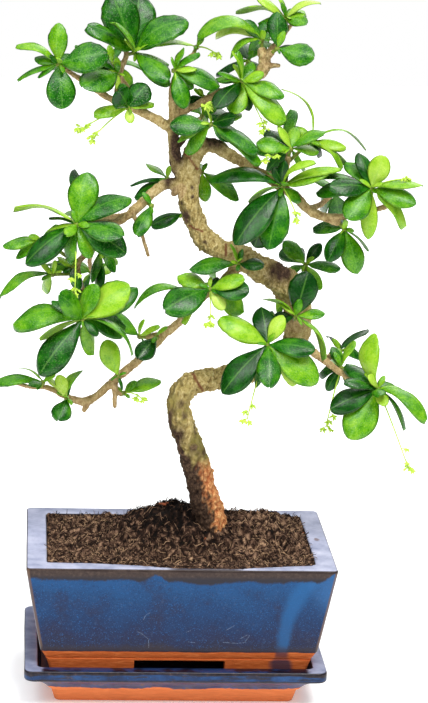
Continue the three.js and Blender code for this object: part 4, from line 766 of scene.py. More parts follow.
class PotGlaze(Look):
    """The pot: clouded blue glaze, brown where it is thin, a pale rim partly of painted reflection, and bare
    clay below.
    """

    def __init__(self):
        super().__init__("pot_glaze", 0.3, 0.2)
        self.x, self.y, self.z = self.place.millimetres()
        self.normal_x, self.normal_y, self.normal_z = self.normal()
        self.slow = self.place.stretched(1, 1, 0.6).noise(45, 4, 0.6)
        self.fine = self.place.noise(420, 4, 0.65)
        self.grain = self.place.noise(1300, 2, 0.6)
        self.front = self.normal_y.between(-0.5, -0.9)
        self.down = (self.z - GLAZE_BOTTOM) / 50
        self.off_run = abs((self.x - (self.down * self.down * 16 + RUN_X)).swayed(self.slow, 8))

    def blue(self):
        """Blue, brightest under the rim and more violet toward the feet, clouded and speckled, with a pale
        run that curves down the right of the front."""
        x, z, slow, fine, grain, front = self.x, self.z, self.slow, self.fine, self.grain, self.front
        cloud = self.place.noise(34, 5, 0.66)
        height = z.swayed(cloud, 50).swayed(fine, 8)
        colour = height.between(GLAZE_BOTTOM - 2, POT_TOP - 5).ramp(
            (0.0, 30, 31, 52), (0.15, 25, 33, 64), (0.36, 16, 41, 78), (0.62, 14, 50, 91), (0.84, 14, 56, 98),
            (1.0, 16, 64, 110))
        colour = colour.mixed(cloud.between(0.46, 0.34) * 0.5, (32, 34, 58))
        colour = colour.mixed(grain.between(0.56, 0.72) * 0.6, (30, 92, 152))
        colour = colour.mixed(grain.between(0.44, 0.3) * 0.5, (14, 26, 56))
        colour = colour.mixed(fine.between(0.56, 0.74) * 0.35, (60, 76, 104))
        run = (self.off_run / (self.down * 5 + 3.6)).swayed(fine, 0.7).between(1.25, 0.3) * front
        colour = colour.mixed(run * 0.65, (24, 84, 136))
        blotch = front * x.swayed(slow, 30).between(84, 96) * z.between(58, 78)
        return colour.mixed(blotch * 0.45, (50, 96, 146))

    def banded(self, colour):
        """Brown under the rim, along the upright edges and at the glaze's lower limit."""
        x, z, fine = self.x, self.z, self.fine
        waves = self.place.stretched(1, 1, 0.2).noise(40, 3, 0.5)
        wavy = z.swayed(waves, 11).swayed(fine, 3)
        peak = abs(x - BAND_PEAK_X).between(9, 0)
        edge = self.front * (peak * 5 + x.between(87, 98) * 6) + BAND_BOTTOM
        brown = fine.ramp((0.35, 48, 37, 34), (0.55, 61, 48, 43), (0.75, 78, 63, 56))
        brown = brown.mixed(z.between(93.5, 89.5), (36, 34, 42))
        colour = colour.mixed((wavy - edge).between(-1.3, 0.9), brown)
        corner = abs(self.normal_x * self.normal_y)
        colour = colour.mixed(corner.between(0.2, 0.42) * 0.75, (98, 74, 58))
        hem = wavy.swayed(self.slow, 6).between(44, 38.5)
        return colour.mixed(hem * 0.75, (48, 40, 44))

    def rimmed(self, colour):
        """The pale lilac rim, partly painted reflection, soiled, worn and chipped, and the scratches on the
        front.
        """
        x, y, z, slow, fine = self.x, self.y, self.z, self.slow, self.fine
        # Pale lilac on the rim's top faces: glaze colour with a painted reflection of the sky
        pale_with_reflection = self.place.noise(70, 4, 0.6).ramp(
            (0.3, 128, 134, 162), (0.5, 162, 166, 190), (0.75, 190, 192, 212))
        pale_with_reflection = pale_with_reflection.mixed(fine.between(0.62, 0.74) * 0.4, (108, 92, 88))
        upper = z.between(POT_TOP - 4, POT_TOP - 1.5)
        topmost = z.between(POT_TOP - 2.5, POT_TOP - 1)
        colour = colour.mixed(self.normal_z.between(0.75, 0.95) * upper, pale_with_reflection)
        soiled = abs(x.swayed(slow, 30) - SOILED_X).between(32, 16) * y.between(-56, -62) * topmost
        colour = colour.mixed(soiled * 0.85, (44, 33, 30))
        worn = topmost * self.normal_z.between(0.97, 0.6) * slow.between(0.4, 0.55)
        colour = colour.mixed(worn, (40, 28, 26))
        chip_x = x - CHIP_X
        chip = (chip_x * chip_x + y * y * 0.3).root()
        chipped = chip.swayed(fine, 3).between(2.2, 1.2) * upper
        colour = colour.mixed(chipped * 0.7, (96, 66, 46))
        scratched = scratch_share(x.swayed(slow, 4), z.swayed(slow, 3)) * self.front
        return colour.mixed(scratched * self.grain.between(0.35, 0.55) * 0.3, (150, 168, 194))

    def finished(self):
        """The glaze over bare clay, which has a dark smear where the run has dripped."""
        glaze = self.rimmed(self.banded(self.blue()))
        glazed = self.z.swayed(self.slow, 3).between(37.3, 38.1)
        smear = (self.off_run / (self.z.between(34, 29) * 3 + 4.2)).between(1.2, 0.6) * self.front
        clay = clay_colour(self.place).mixed(smear * 0.85, (44, 48, 72))
        relief = self.slow * 0.5 + self.fine * 0.2
        return self.painted(clay.mixed(glazed, glaze), 0.8 - glazed * 0.48, relief, 0.3)


def tray_material():
    look = Look("tray_glaze", 0.25, 0.25)
    place = look.place
    x, z = place.millimetres()[::2]
    normal_z = look.normal()[2]
    slow = place.noise(70, 4, 0.6)
    runs = place.stretched(1, 1, 0.15).noise(150, 3, 0.6)
    lines = place.stretched(0.13, 0.13, 1).noise(420, 4, 0.65)
    blue = slow.ramp((0.3, 18, 30, 58), (0.5, 20, 48, 88), (0.72, 34, 70, 116))
    blue = blue.mixed(place.noise(1300, 2, 0.6).between(0.58, 0.74) * 0.5, (40, 92, 148))
    rusty = place.noise(420, 4, 0.65).ramp((0.35, 18, 14, 16), (0.6, 44, 34, 32), (0.8, 96, 72, 56))

    # The lip: blue-black with brown along its top, and a dark line under its face, brown and partly painted
    # shade
    colour = blue.mixed(lines.between(0.53, 0.62) * 0.75, rusty)
    upper = z.swayed(lines, 4).between(24.2, 25.2) * normal_z.between(0.98, 0.75)
    colour = colour.mixed(upper * 0.92, rusty)
    # A dark brown line under the lip's face, partly painted shade under its overhang
    lower = z.swayed(lines, 2).between(21.6, 20.6) * z.between(18, 19)
    colour = colour.mixed(lower * 0.85, rusty)
    top = normal_z.between(0.7, 0.95) * z.between(24.5, 26.2)
    inky = lines.between(0.44, 0.56).ramp((0.0, 9, 13, 28), (1.0, 22, 46, 86))
    # The top's ends pale lilac: glaze colour with a painted reflection of the sky
    ends = abs(x - TRAY_CENTRE_X).swayed(slow, 10).between(84, 88)
    pale_with_reflection = slow.ramp((0.3, 92, 98, 128), (0.7, 150, 156, 180))
    colour = colour.mixed(top, inky.mixed(ends, pale_with_reflection))

    # The cove: grey-blue, thin and streaked above the clay foot
    streaked = runs.swayed(lines, 0.6).ramp(
        (0.35, 44, 56, 94), (0.5, 72, 74, 92), (0.6, 54, 76, 120), (0.75, 104, 88, 82))
    colour = colour.mixed(z.between(18.8, 18), streaked)
    glazed = z.swayed(slow, 7).swayed(runs, 2).between(10, 10.9)
    colour = clay_colour(place).mixed(0.45, (250, 150, 92)).mixed(glazed, colour)
    return look.painted(colour, 0.8 - glazed * 0.52, slow * 0.5 + lines * 0.25)


def make_pot():
    foot_top = TRAY_FLOOR + FOOT_HEIGHT
    steps = graded([
        (FOOT_INSET + 0.6, TRAY_FLOOR, 2), (FOOT_INSET - 0.2, TRAY_FLOOR + 0.6, 2.2),
        (FOOT_INSET - 3, foot_top, 2.5), (FOOT_INSET - 3.6, foot_top + 1.1, 2.5),
        (FOOT_INSET - 3.2, foot_top + 1.5, 2.5), (FOOT_INSET - 2.9, foot_top + 1.9, 2.5),
        (FOOT_INSET - 4.2, foot_top + 2.6, 3), (GLAZE_INSET + 0.6, GLAZE_BOTTOM - 0.6, 3),
        (GLAZE_INSET + 0.05, GLAZE_BOTTOM, 3), (GLAZE_INSET - 0.2, GLAZE_BOTTOM + 0.5, 3),
        (0.35, POT_TOP - 2, 3), (0.3, POT_TOP - 1.2, 3), (0.65, POT_TOP - 0.5, 3), (1.3, POT_TOP - 0.1, 3),
        (2.2, POT_TOP, 3), (POT_WALL - 2, POT_TOP, 3), (POT_WALL - 0.9, POT_TOP - 0.15, 3),
        (POT_WALL - 0.2, POT_TOP - 0.6, 3), (POT_WALL, POT_TOP - 1.6, 3), (CAVITY_FLOOR_INSET, POT_FLOOR, 3),
    ], 4)
    vertices, faces = stepped_box(POT_HALF_WIDTH, POT_HALF_DEPTH, 0, steps, 0.35)
    piece = new_piece("pot_piece", vertices, faces, [PotGlaze().finished()], ["pot"])
    hollow_width = 2 * (POT_HALF_WIDTH - FOOT_INSET - FOOT_WALL)
    hollow_depth = 2 * (POT_HALF_DEPTH - FOOT_INSET - FOOT_WALL)
    tall = 2 * FOOT_HEIGHT
    cut_boxes(piece, [
        ((0, 0, TRAY_FLOOR), (hollow_width, hollow_depth, tall)),
        ((0.5, 0, TRAY_FLOOR), (FRONT_FOOT_GAP, 3 * POT_HALF_DEPTH, tall)),
        ((0, 0, TRAY_FLOOR), (3 * POT_HALF_WIDTH, END_FOOT_GAP, tall)),
    ])
    holes = [(side * DRAIN_X, 0, POT_FLOOR - 5) for side in (-1, 1)]
    cut_round_holes(piece, holes, DRAIN_RADIUS, 40)
    piece.data.set_sharp_from_angle(angle=math.radians(40))


def make_tray():
    steps = graded([
        (20.4, 0, 4), (20, 0.5, 4), (17.7, 8.4, 4), (16.8, 9.1, 4.5), (15.5, 9.8, 5), (14.2, 11.6, 5),
        (12.0, 13.8, 5.5), (8.7, 16.2, 6), (5.8, 18.0, 6), (3.5, 19, 6), (1.6, 19.5, 6), (0.6, 19.9, 6),
        (0.15, 20.6, 6), (0, 21.4, 6), (0, 25.6, 6), (0.2, 26.3, 6), (0.6, 26.8, 6), (1.2, TRAY_HEIGHT, 6),
        (7.8, TRAY_HEIGHT, 4), (8.5, 26.8, 4), (9.1, 26, 4), (11.2, TRAY_FLOOR, 3),
    ], 3)
    vertices, faces = stepped_box(TRAY_HALF_WIDTH, TRAY_HALF_DEPTH, TRAY_CENTRE_X, steps, 0.25)
    new_piece("drip_tray_piece", vertices, faces, [tray_material()], ["drip_tray"], 40)


# Soil

SOIL_HALF_WIDTH = 85.9
SOIL_HALF_DEPTH = 52.9
SOIL_COLUMNS = 172
SOIL_ROWS = 106

# Where soil lies spilt over the front rim: the sheet's ends, its start, and where its loose bits lie
SPILL_LEFT = -82
SPILL_RIGHT = 84
SPILL_START_Y = -52.4
SPILL_COLUMNS = 110
SPILL_ROWS = 6
LOOSE_X = (-80, 84)
LOOSE_START_Y = -53.5

# How many crumbs and fibres lie in the pot and spilt, and the seed that scatters them
SOIL_SEED = 4
CRUMBS = 1100
FIBRES = 5100
SPILT_CRUMBS = 280
SPILT_FIBRES = 330

# Places of the orange grit on the soil (x, y)
GRIT = [(-11, 16), (-9, 15), (-7, 14), (17, -14), (85, 20)]


def soil_height(x, y):
    edge = clamped(min(87 - abs(x), 54 - abs(y)) / 20)
    left_heap = 22 * math.exp(-(((x + 6) / 34) ** 2) - ((y - 14) / 26) ** 2)
    right_heap = 14 * math.exp(-(((x - 56) / 34) ** 2) - ((y - 18) / 27) ** 2)
    collar = 5 * math.exp(-(((x - 24) / 18) ** 2) - ((y + 2) / 18) ** 2)
    ripple = 0.8 * math.sin(x * 0.31 + y * 0.17) + 0.6 * math.sin(y * 0.43 - x * 0.11)
    return SOIL_LEVEL + edge * (left_heap + right_heap + collar) + ripple + 2.0 * (1 - edge)


def crumbly(x, y):
    """The soil's height with its clods and crumbs."""
    clods = noise.noise(Vector((x * 0.09, y * 0.09, 3.1))) * 1.8
    lumps = noise.noise(Vector((x * 0.28, y * 0.28, 7.7))) * 2.4
    grains = noise.noise(Vector((x * 0.8, y * 0.8, 1.3))) * 1.2
    return soil_height(x, y) + clods + lumps + grains


def paleness_and_shade(x, y):
    """How much paler the soil by the walls is than round the trunk, where painted shade darkens the heap."""
    return 0.12 + 0.05 * (x > 40) - 0.5 * math.exp(-(((x + 2) / 30) ** 2) - ((y - 8) / 24) ** 2)


def spill_edge(x):
    """How far forward the soil lies spilt over the front rim."""
    reach = 12.5 * math.exp(-((x - 16) / 50) ** 2)
    return max(-65, -54.2 - reach - 1.2 * noise.noise(Vector((x * 0.12, 5, 5))))


def resting(x, y):
    """The height that loose soil lies at, in the pot or spilt on its rim."""
    if abs(x) < 85.6 and abs(y) < 52.6:
        return crumbly(x, y)
    return POT_TOP + 0.5 + 0.5 * noise.noise(Vector((x * 0.6, y * 0.6, 2.2)))


def soil_material():
    look = Look("peat", 0.95, 0.15)
    fine = look.place.noise(800, 4, 0.7)
    mottle = fine * 0.4 + look.attribute("shade") * 0.6
    colour = mottle.swayed(look.place.noise(45, 3, 0.6), 0.25).ramp(
        (0.16, 14, 8, 6), (0.36, 42, 27, 20), (0.5, 88, 65, 52), (0.64, 136, 107, 86), (0.95, 196, 160, 124))
    return look.painted(colour, None, fine, 0.9, 0.0014)


def mottled_material(name, scale, dark, light, relief, roughness, gloss=0.5):
    """A plain material of two colours in fine blots, with a relief to match."""
    look = Look(name, roughness, gloss)
    fine = look.place.noise(scale, 3)
    return look.painted(fine.ramp((0.3, *dark), (0.7, *light)), None, fine, relief)


def add_crumb(build, chance, x, y, z, size, slot=0):
    squash = np.array([chance.uniform(0.7, 1.5), chance.uniform(0.7, 1.5), chance.uniform(0.5, 1.0)])
    turn = chance.uniform(0, math.pi)
    spin = np.array([[math.cos(turn), -math.sin(turn), 0], [math.sin(turn), math.cos(turn), 0], [0, 0, 1]])
    rough = np.array([[chance.uniform(0.75, 1.25)] for corner in BALL])
    corners = (BALL * rough * squash * size) @ spin.T + np.array([x, y, z + 0.25 * size])
    build.add(corners, ICOSAHEDRON, slot, shade=0.75 * chance.random() + paleness_and_shade(x, y))


def add_fibre(build, chance, x, y):
    """A thin root or peat fibre that lies on the soil, many with one end sticking up."""
    heading = chance.uniform(0, 2 * math.pi)
    long = 1.6 + 5 * chance.random() ** 2.5
    curve = chance.uniform(-0.25, 0.25)
    lift = chance.uniform(0.5, 3.0 + 0.12 * (soil_height(x, y) - SOIL_LEVEL)) * chance.random()
    arch = chance.uniform(0, 0.9)
    shade = chance.choice((0.0, 0.05, 0.1, 0.2, 0.35, 0.55, 0.95)) + paleness_and_shade(x, y)
    path = []
    for step in range(5):
        share = step / 4
        z = resting(x, y) + 0.15 + arch * math.sin(math.pi * share) + lift * share ** 1.5
        path.append((x, y, z))
        heading += curve
        x = min(88, max(-88, x + long / 4 * math.cos(heading)))
        y = min(55, max(spill_edge(x) + 0.4, y + long / 4 * math.sin(heading)))
    thick = chance.uniform(0.16, 0.38)
    build.add(*tube(path, [thick * s for s in (0.6, 1, 0.9, 0.7, 0.3)], 3, False), shade=shade)


def add_bed(build):
    """The soil's top in the pot, as one crumbly sheet."""
    grid, shades = [], []
    for row in range(SOIL_ROWS + 1):
        for column in range(SOIL_COLUMNS + 1):
            x = SOIL_HALF_WIDTH * (2 * column / SOIL_COLUMNS - 1)
            y = SOIL_HALF_DEPTH * (2 * row / SOIL_ROWS - 1)
            grid.append((x, y, crumbly(x, y)))
            shades.append(0.34 + paleness_and_shade(x, y) + 0.9 * noise.noise(Vector((x * 0.36, y * 0.36, 9.0))))
    build.add(grid, grid_faces(SOIL_COLUMNS, SOIL_ROWS), 0, shade=shades)


def add_spill(build):
    """The thin sheet of soil that lies over the front rim."""
    grid, shades = [], []
    for row in range(SPILL_ROWS + 1):
        for column in range(SPILL_COLUMNS + 1):
            x = SPILL_LEFT + (SPILL_RIGHT - SPILL_LEFT) * column / SPILL_COLUMNS
            y = SPILL_START_Y + row / SPILL_ROWS * (spill_edge(x) - SPILL_START_Y)
            grid.append((x, y, resting(x, y) if row < SPILL_ROWS else POT_TOP - 0.3))
            shades.append(0.4 + 0.6 * noise.noise(Vector((x * 0.3, y * 0.3, 4))))
    faces = [turned_over(face) for face in grid_faces(SPILL_COLUMNS, SPILL_ROWS)]
    build.add(grid, faces, 0, shade=shades)


def spilt_place(chance):
    x = chance.uniform(*LOOSE_X)
    return x, LOOSE_START_Y + chance.random() * (spill_edge(x) - LOOSE_START_Y)


def make_soil():
    chance = random.Random(SOIL_SEED)
    build = Builder()
    add_bed(build)
    add_spill(build)
    for index in range(CRUMBS):
        x = SOIL_HALF_WIDTH * chance.uniform(-0.985, 0.985)
        y = SOIL_HALF_DEPTH * chance.uniform(-0.975, 0.975)
        add_crumb(build, chance, x, y, crumbly(x, y), 0.3 + 0.75 * chance.random() ** 2.5)
    for grit_x, grit_y in GRIT:
        for again in range(2):
            x, y = grit_x + chance.uniform(-1, 1), grit_y + chance.uniform(-1, 1)
            add_crumb(build, chance, x, y, crumbly(x, y) + 0.6, 0.5 + 0.9 * chance.random(), 1)
    for index in range(SPILT_CRUMBS):
        x, y = spilt_place(chance)
        add_crumb(build, chance, x, y, resting(x, y), 0.3 + 0.6 * chance.random() ** 2)
    for index in range(FIBRES):
        x = SOIL_HALF_WIDTH * chance.uniform(-0.99, 0.99)
        add_fibre(build, chance, x, SOIL_HALF_DEPTH * chance.uniform(-0.99, 0.99))
    for index in range(SPILT_FIBRES):
        add_fibre(build, chance, *spilt_place(chance))
    grit = mottled_material("orange_grit", 900, (112, 50, 22), (176, 92, 48), 0.5, 0.8)
    build.build("soil_piece", [soil_material(), grit], "peat", ["soil"])


# Wood

# Reddish scars seen on the front of the trunk: (x, z) from and to, and half the width
SCARS = [(5.0, 212.6, 12.8, 200.0, 0.8), (1.0, 307.8, 9.5, 304.7, 0.6), (-4.7, 357.3, 5.2, 344.7, 0.6),
         (24.9, 296.1, 25.1, 289.5, 0.7)]

# Dark wounds on the front of the trunk: (x, z), half as wide and half as high, and how dark
WOUNDS = [(-1.8, 313.5, 3.0, 4.4, 1.5), (2.5, 327.0, 1.3, 1.5, 1.1), (1.6, 333.4, 1.2, 1.4, 1.1),
          (-4.4, 322.3, 1.3, 1.5, 1.0), (11.0, 298.0, 1.5, 1.6, 1.0), (-1.0, 191.8, 2.6, 3.2, 0.8),
          (1.2, 184.0, 2.2, 3.6, 0.8), (7.5, 162.5, 3.0, 3.0, 0.9), (14.8, 158.0, 2.4, 2.4, 0.9),
          (-8.0, 205.0, 3.0, 2.0, 0.6), (9.0, 174.0, 1.6, 5.0, 0.7)]

# Dark patches at the knobs and painted shade between the leaders: (x, z), how wide, how high, and how dark
DARK_KNOBS_AND_CROTCH_SHADE = [(-7.5, 361.0, 5.0, 13.0, 1.4), (-12.0, 340.0, 5.0, 18.0, 0.8), (17.0, 364.0, 9.0, 7.0, 1.1),
         (60.0, 278.0, 9.0, 9.0, 1.0), (-3.0, 171.0, 6.0, 9.0, 0.8)]

# The bark's mesh, and how high its knobs, ridges and grain stand
LIMB_STEP = 1.5
VOXEL = 0.78
EASINGS = 6
KNOB_HEIGHT = 1.5
RIDGE_HEIGHT = 1.3
GRAIN_HEIGHT = 0.7

# The trunk's lower stretch, dark on its left and rusty on its right: the least radius and the greatest
# height that it has, and the heights where the dark bark, the bare wood and the foot begin and are whole
TRUNK_GIRTH = 5
TRUNK_TOP = 196
DARK_Z = (172, 142)
BARE_Z = (154, 140)
FOOT_Z = (103, 98)


def limb_curve(points, step):
    """The limb's middle as the model draws it: a centripetal curve through its points."""
    places = [np.array(p[:3], float) for p in points]
    count = len(places) - 1
    fine = []
    for i in range(count):
        before = places[i - 1] if i > 0 else 2 * places[0] - places[1]
        after = places[i + 2] if i + 2 <= count else 2 * places[count] - places[count - 1]
        p0, p1, p2, p3 = before, places[i], places[i + 1], after
        pairs = ((p0, p1), (p1, p2), (p2, p3))
        d0, d1, d2 = (max(1e-4, float(np.sum((a - b) ** 2)) ** 0.25) for a, b in pairs)
        t1 = ((p1 - p0) / d0 - (p2 - p0) / (d0 + d1) + (p2 - p1) / d1) * d1
        t2 = ((p2 - p1) / d1 - (p3 - p1) / (d1 + d2) + (p3 - p2) / d2) * d1
        parts = max(2, int(np.linalg.norm(p2 - p1) / step))
        for k in range(parts + (i == count - 1)):
            t = k / parts
            place = (p1 + t1 * t + (-3 * p1 + 3 * p2 - 2 * t1 - t2) * t * t
                     + (2 * p1 - 2 * p2 + t1 + t2) * t ** 3)
            fine.append((place, points[i][3] + t * (points[i + 1][3] - points[i][3])))
    return fine


def bark_material():
    look = Look("bark", 0.85, 0.2)
    place = look.place
    z = place.millimetres()[2]
    girth = look.attribute("girth")
    broad = place.stretched(1, 1, 0.5).noise(70, 4, 0.6)
    patch = place.stretched(1, 1, 0.8).noise(330, 4, 0.7)
    fine = place.stretched(1, 1, 0.6).noise(1100, 4, 0.75)
    crest = look.attribute("crest")
    shade = (patch * 0.5 + 0.295).swayed(crest, 0.26).swayed(fine, 0.9).swayed(broad, 0.3)
    colour = shade.ramp(
        (0.22, 80, 60, 34), (0.38, 126, 106, 60), (0.52, 162, 143, 88), (0.66, 190, 172, 120),
        (0.86, 214, 200, 158))
    mossy = broad.swayed(fine, 0.5).between(0.46, 0.66) * (z.between(225, 185) + 0.25)
    colour = colour.mixed(mossy * 0.65, (112, 104, 44))
    # Painted shade: the thicker limbs' left-facing sides darkened toward olive brown
    painted_left_shade = look.normal()[0].swayed(broad, 1.4).between(-0.15, -0.75) * girth.between(4, 6)
    colour = colour.mixed(painted_left_shade * 0.6, (88, 76, 36))
    twig = shade.ramp((0.25, 98, 74, 46), (0.5, 158, 130, 90), (0.75, 200, 174, 130))
    colour = colour.mixed(girth.between(4.2, 1.8) * 0.8, twig)
    # Dark bark low on the trunk's left and in the wounds, and painted shade between the leaders
    dark_and_shade = shade.ramp((0.25, 26, 17, 13), (0.54, 60, 43, 32), (0.8, 112, 88, 68))
    colour = colour.mixed(look.attribute("dark_and_shade"), dark_and_shade)
    rust = shade.ramp((0.25, 104, 50, 28), (0.46, 168, 96, 56), (0.64, 206, 148, 94), (0.8, 232, 200, 146))
    colour = colour.mixed(look.attribute("rust"), rust)
    colour = colour.mixed(look.attribute("scar") * fine.between(0.2, 0.55), (104, 54, 36))
    return look.painted(colour, None, patch * 0.8 + fine * 0.35, 0.9, 0.0012)


def scar_share(x, z):
    """How much of a reddish scar lies at a place of the trunk's front, from 0 to 1."""
    found = 0.0
    for from_x, from_z, to_x, to_z, half in SCARS:
        run_x, run_z = to_x - from_x, to_z - from_z
        past_x, past_z = x - from_x, z - from_z
        share = clamped((past_x * run_x + past_z * run_z) / (run_x ** 2 + run_z ** 2))
        off = math.hypot(past_x - share * run_x, past_z - share * run_z)
        found = max(found, clamped(1.6 - off / half))
    return found


def wound_share(x, z, ragged):
    """How dark a wound makes a place of the trunk's front, from 0 to 1."""
    found = 0.0
    for at_x, at_z, wide, high, dark in WOUNDS:
        off = math.hypot((x - at_x) / wide, (z - at_z) / high)
        found = max(found, dark * clamped(1.35 - off + 0.7 * ragged))
    return min(1.0, found)


def share_below(z, start, whole):
    """0 above one height, 1 under the other, and even between."""
    return clamped((start - z) / (start - whole))


def dark_shade_and_rust(x, y, z, side, girth):
    """How dark the bark is, painted shade included, and how rusty; side is -1 at the limb's left and 1 at its
    right.
    """
    blots = noise.noise(Vector((x * 0.22, y * 0.22, z * 0.13 + 40)))
    flakes = noise.noise(Vector((x * 0.5, y * 0.5, z * 0.3 + 70)))
    dark_and_shade, rust = 0.0, 0.0
    if girth > TRUNK_GIRTH and z < TRUNK_TOP:
        low = share_below(z, *DARK_Z)
        dark_and_shade = clamped(2.4 * low - 0.25 - 1.6 * side + 1.7 * blots - 0.9 * (1 - low))
        bare = share_below(z, *BARE_Z)
        foot = share_below(z, *FOOT_Z)
        rust = clamped(bare * (2.9 * side - 0.1 + 1.3 * flakes + 0.7 * blots)) * (1 - 0.8 * foot)
    # Painted shade between the leaders, and dark patches at the knobs
    for at_x, at_z, wide, high, dark in DARK_KNOBS_AND_CROTCH_SHADE:
        near = math.exp(-((x - at_x) / wide) ** 2 - ((z - at_z) / high) ** 2)
        dark_and_shade = max(dark_and_shade, clamped(1.6 * dark * near + 0.8 * blots * near - 0.2))
    return dark_and_shade, rust


def roughen_bark(mesh, samples):
    """Raises the bark's knobs, ridges and grain, and marks where it is young, dark, rusty or scarred, and
    where shade is painted on it.
    """
    tree = kdtree.KDTree(len(samples))
    for index, (place, radius) in enumerate(samples):
        tree.insert(Vector(place), index)
    tree.balance()
    count = len(mesh.vertices)
    places = np.zeros(count * 3)
    normals = np.zeros(count * 3)
    mesh.vertices.foreach_get("co", places)
    mesh.vertices.foreach_get("normal", normals)
    places = places.reshape(-1, 3) / MM
    normals = normals.reshape(-1, 3)
    marks = {name: np.zeros(count) for name in ("girth", "crest", "dark_and_shade", "rust", "scar")}
    for i in range(count):
        x, y, z = places[i]
        middle, girth = samples[tree.find(Vector(places[i]))[1]]
        rough = min(1.0, girth / 7)
        knobs = noise.noise(Vector((x * 0.17, y * 0.17, z * 0.13 + 3)))
        ridges = noise.noise(Vector((x * 0.5, y * 0.5, z * 0.36)))
        grain = noise.noise(Vector((x * 1.3, y * 1.3, z * 0.9 + 9)))
        relief = KNOB_HEIGHT * knobs + RIDGE_HEIGHT * ridges + GRAIN_HEIGHT * grain
        places[i] += normals[i] * (rough * relief + 0.18 - 0.1 * rough)
        marks["girth"][i] = girth
        marks["crest"][i] = 0.5 + 0.5 * ridges + 0.4 * grain
        dark_and_shade, marks["rust"][i] = dark_shade_and_rust(x, y, z, (x - middle[0]) / girth, girth)
        if normals[i][1] < -0.1 and girth > 4:
            marks["scar"][i] = scar_share(x, z)
            dark_and_shade = max(dark_and_shade, wound_share(x, z, ridges))
        marks["dark_and_shade"][i] = dark_and_shade
    mesh.vertices.foreach_set("co", (places * MM).ravel())
    for name, values in marks.items():
        add_attribute(mesh, name, values)
    mesh.update()


def make_wood():
    build = Builder()
    samples = []
    for points in LIMBS.values():
        curve = limb_curve(points, LIMB_STEP)
        radii = []
        for place, radius in curve:
            knot = 1 + 0.12 * noise.noise(Vector(place * 0.07)) + 0.06 * noise.noise(Vector(place * 0.2))
            radii.append(radius * knot)
            samples.append((place, radius))
        last = curve[-1][0]
        ahead = last - curve[-2][0]
        ahead = ahead / np.linalg.norm(ahead)
        path = [p for p, r in curve] + [last + ahead * 0.35 * radii[-1], last + ahead * 0.55 * radii[-1]]
        radii += [0.8 * radii[-1], 0.35 * radii[-1]]
        build.add_tube(path, radii, 20 if max(radii) > 6 else 14, 0)
    piece = placed("tree_wood_piece", build.vertices, build.faces)
    remesh = piece.modifiers.new("grown_together", "REMESH")
    remesh.mode = "VOXEL"
    remesh.voxel_size = VOXEL * MM
    smooth = piece.modifiers.new("eased", "SMOOTH")
    smooth.factor = 0.5
    smooth.iterations = EASINGS
    applied(piece)
    roughen_bark(piece.data, samples)
    finish_piece(piece, [bark_material()], ["tree_wood"])


# The rule that lays the leaves, as the model's source has it

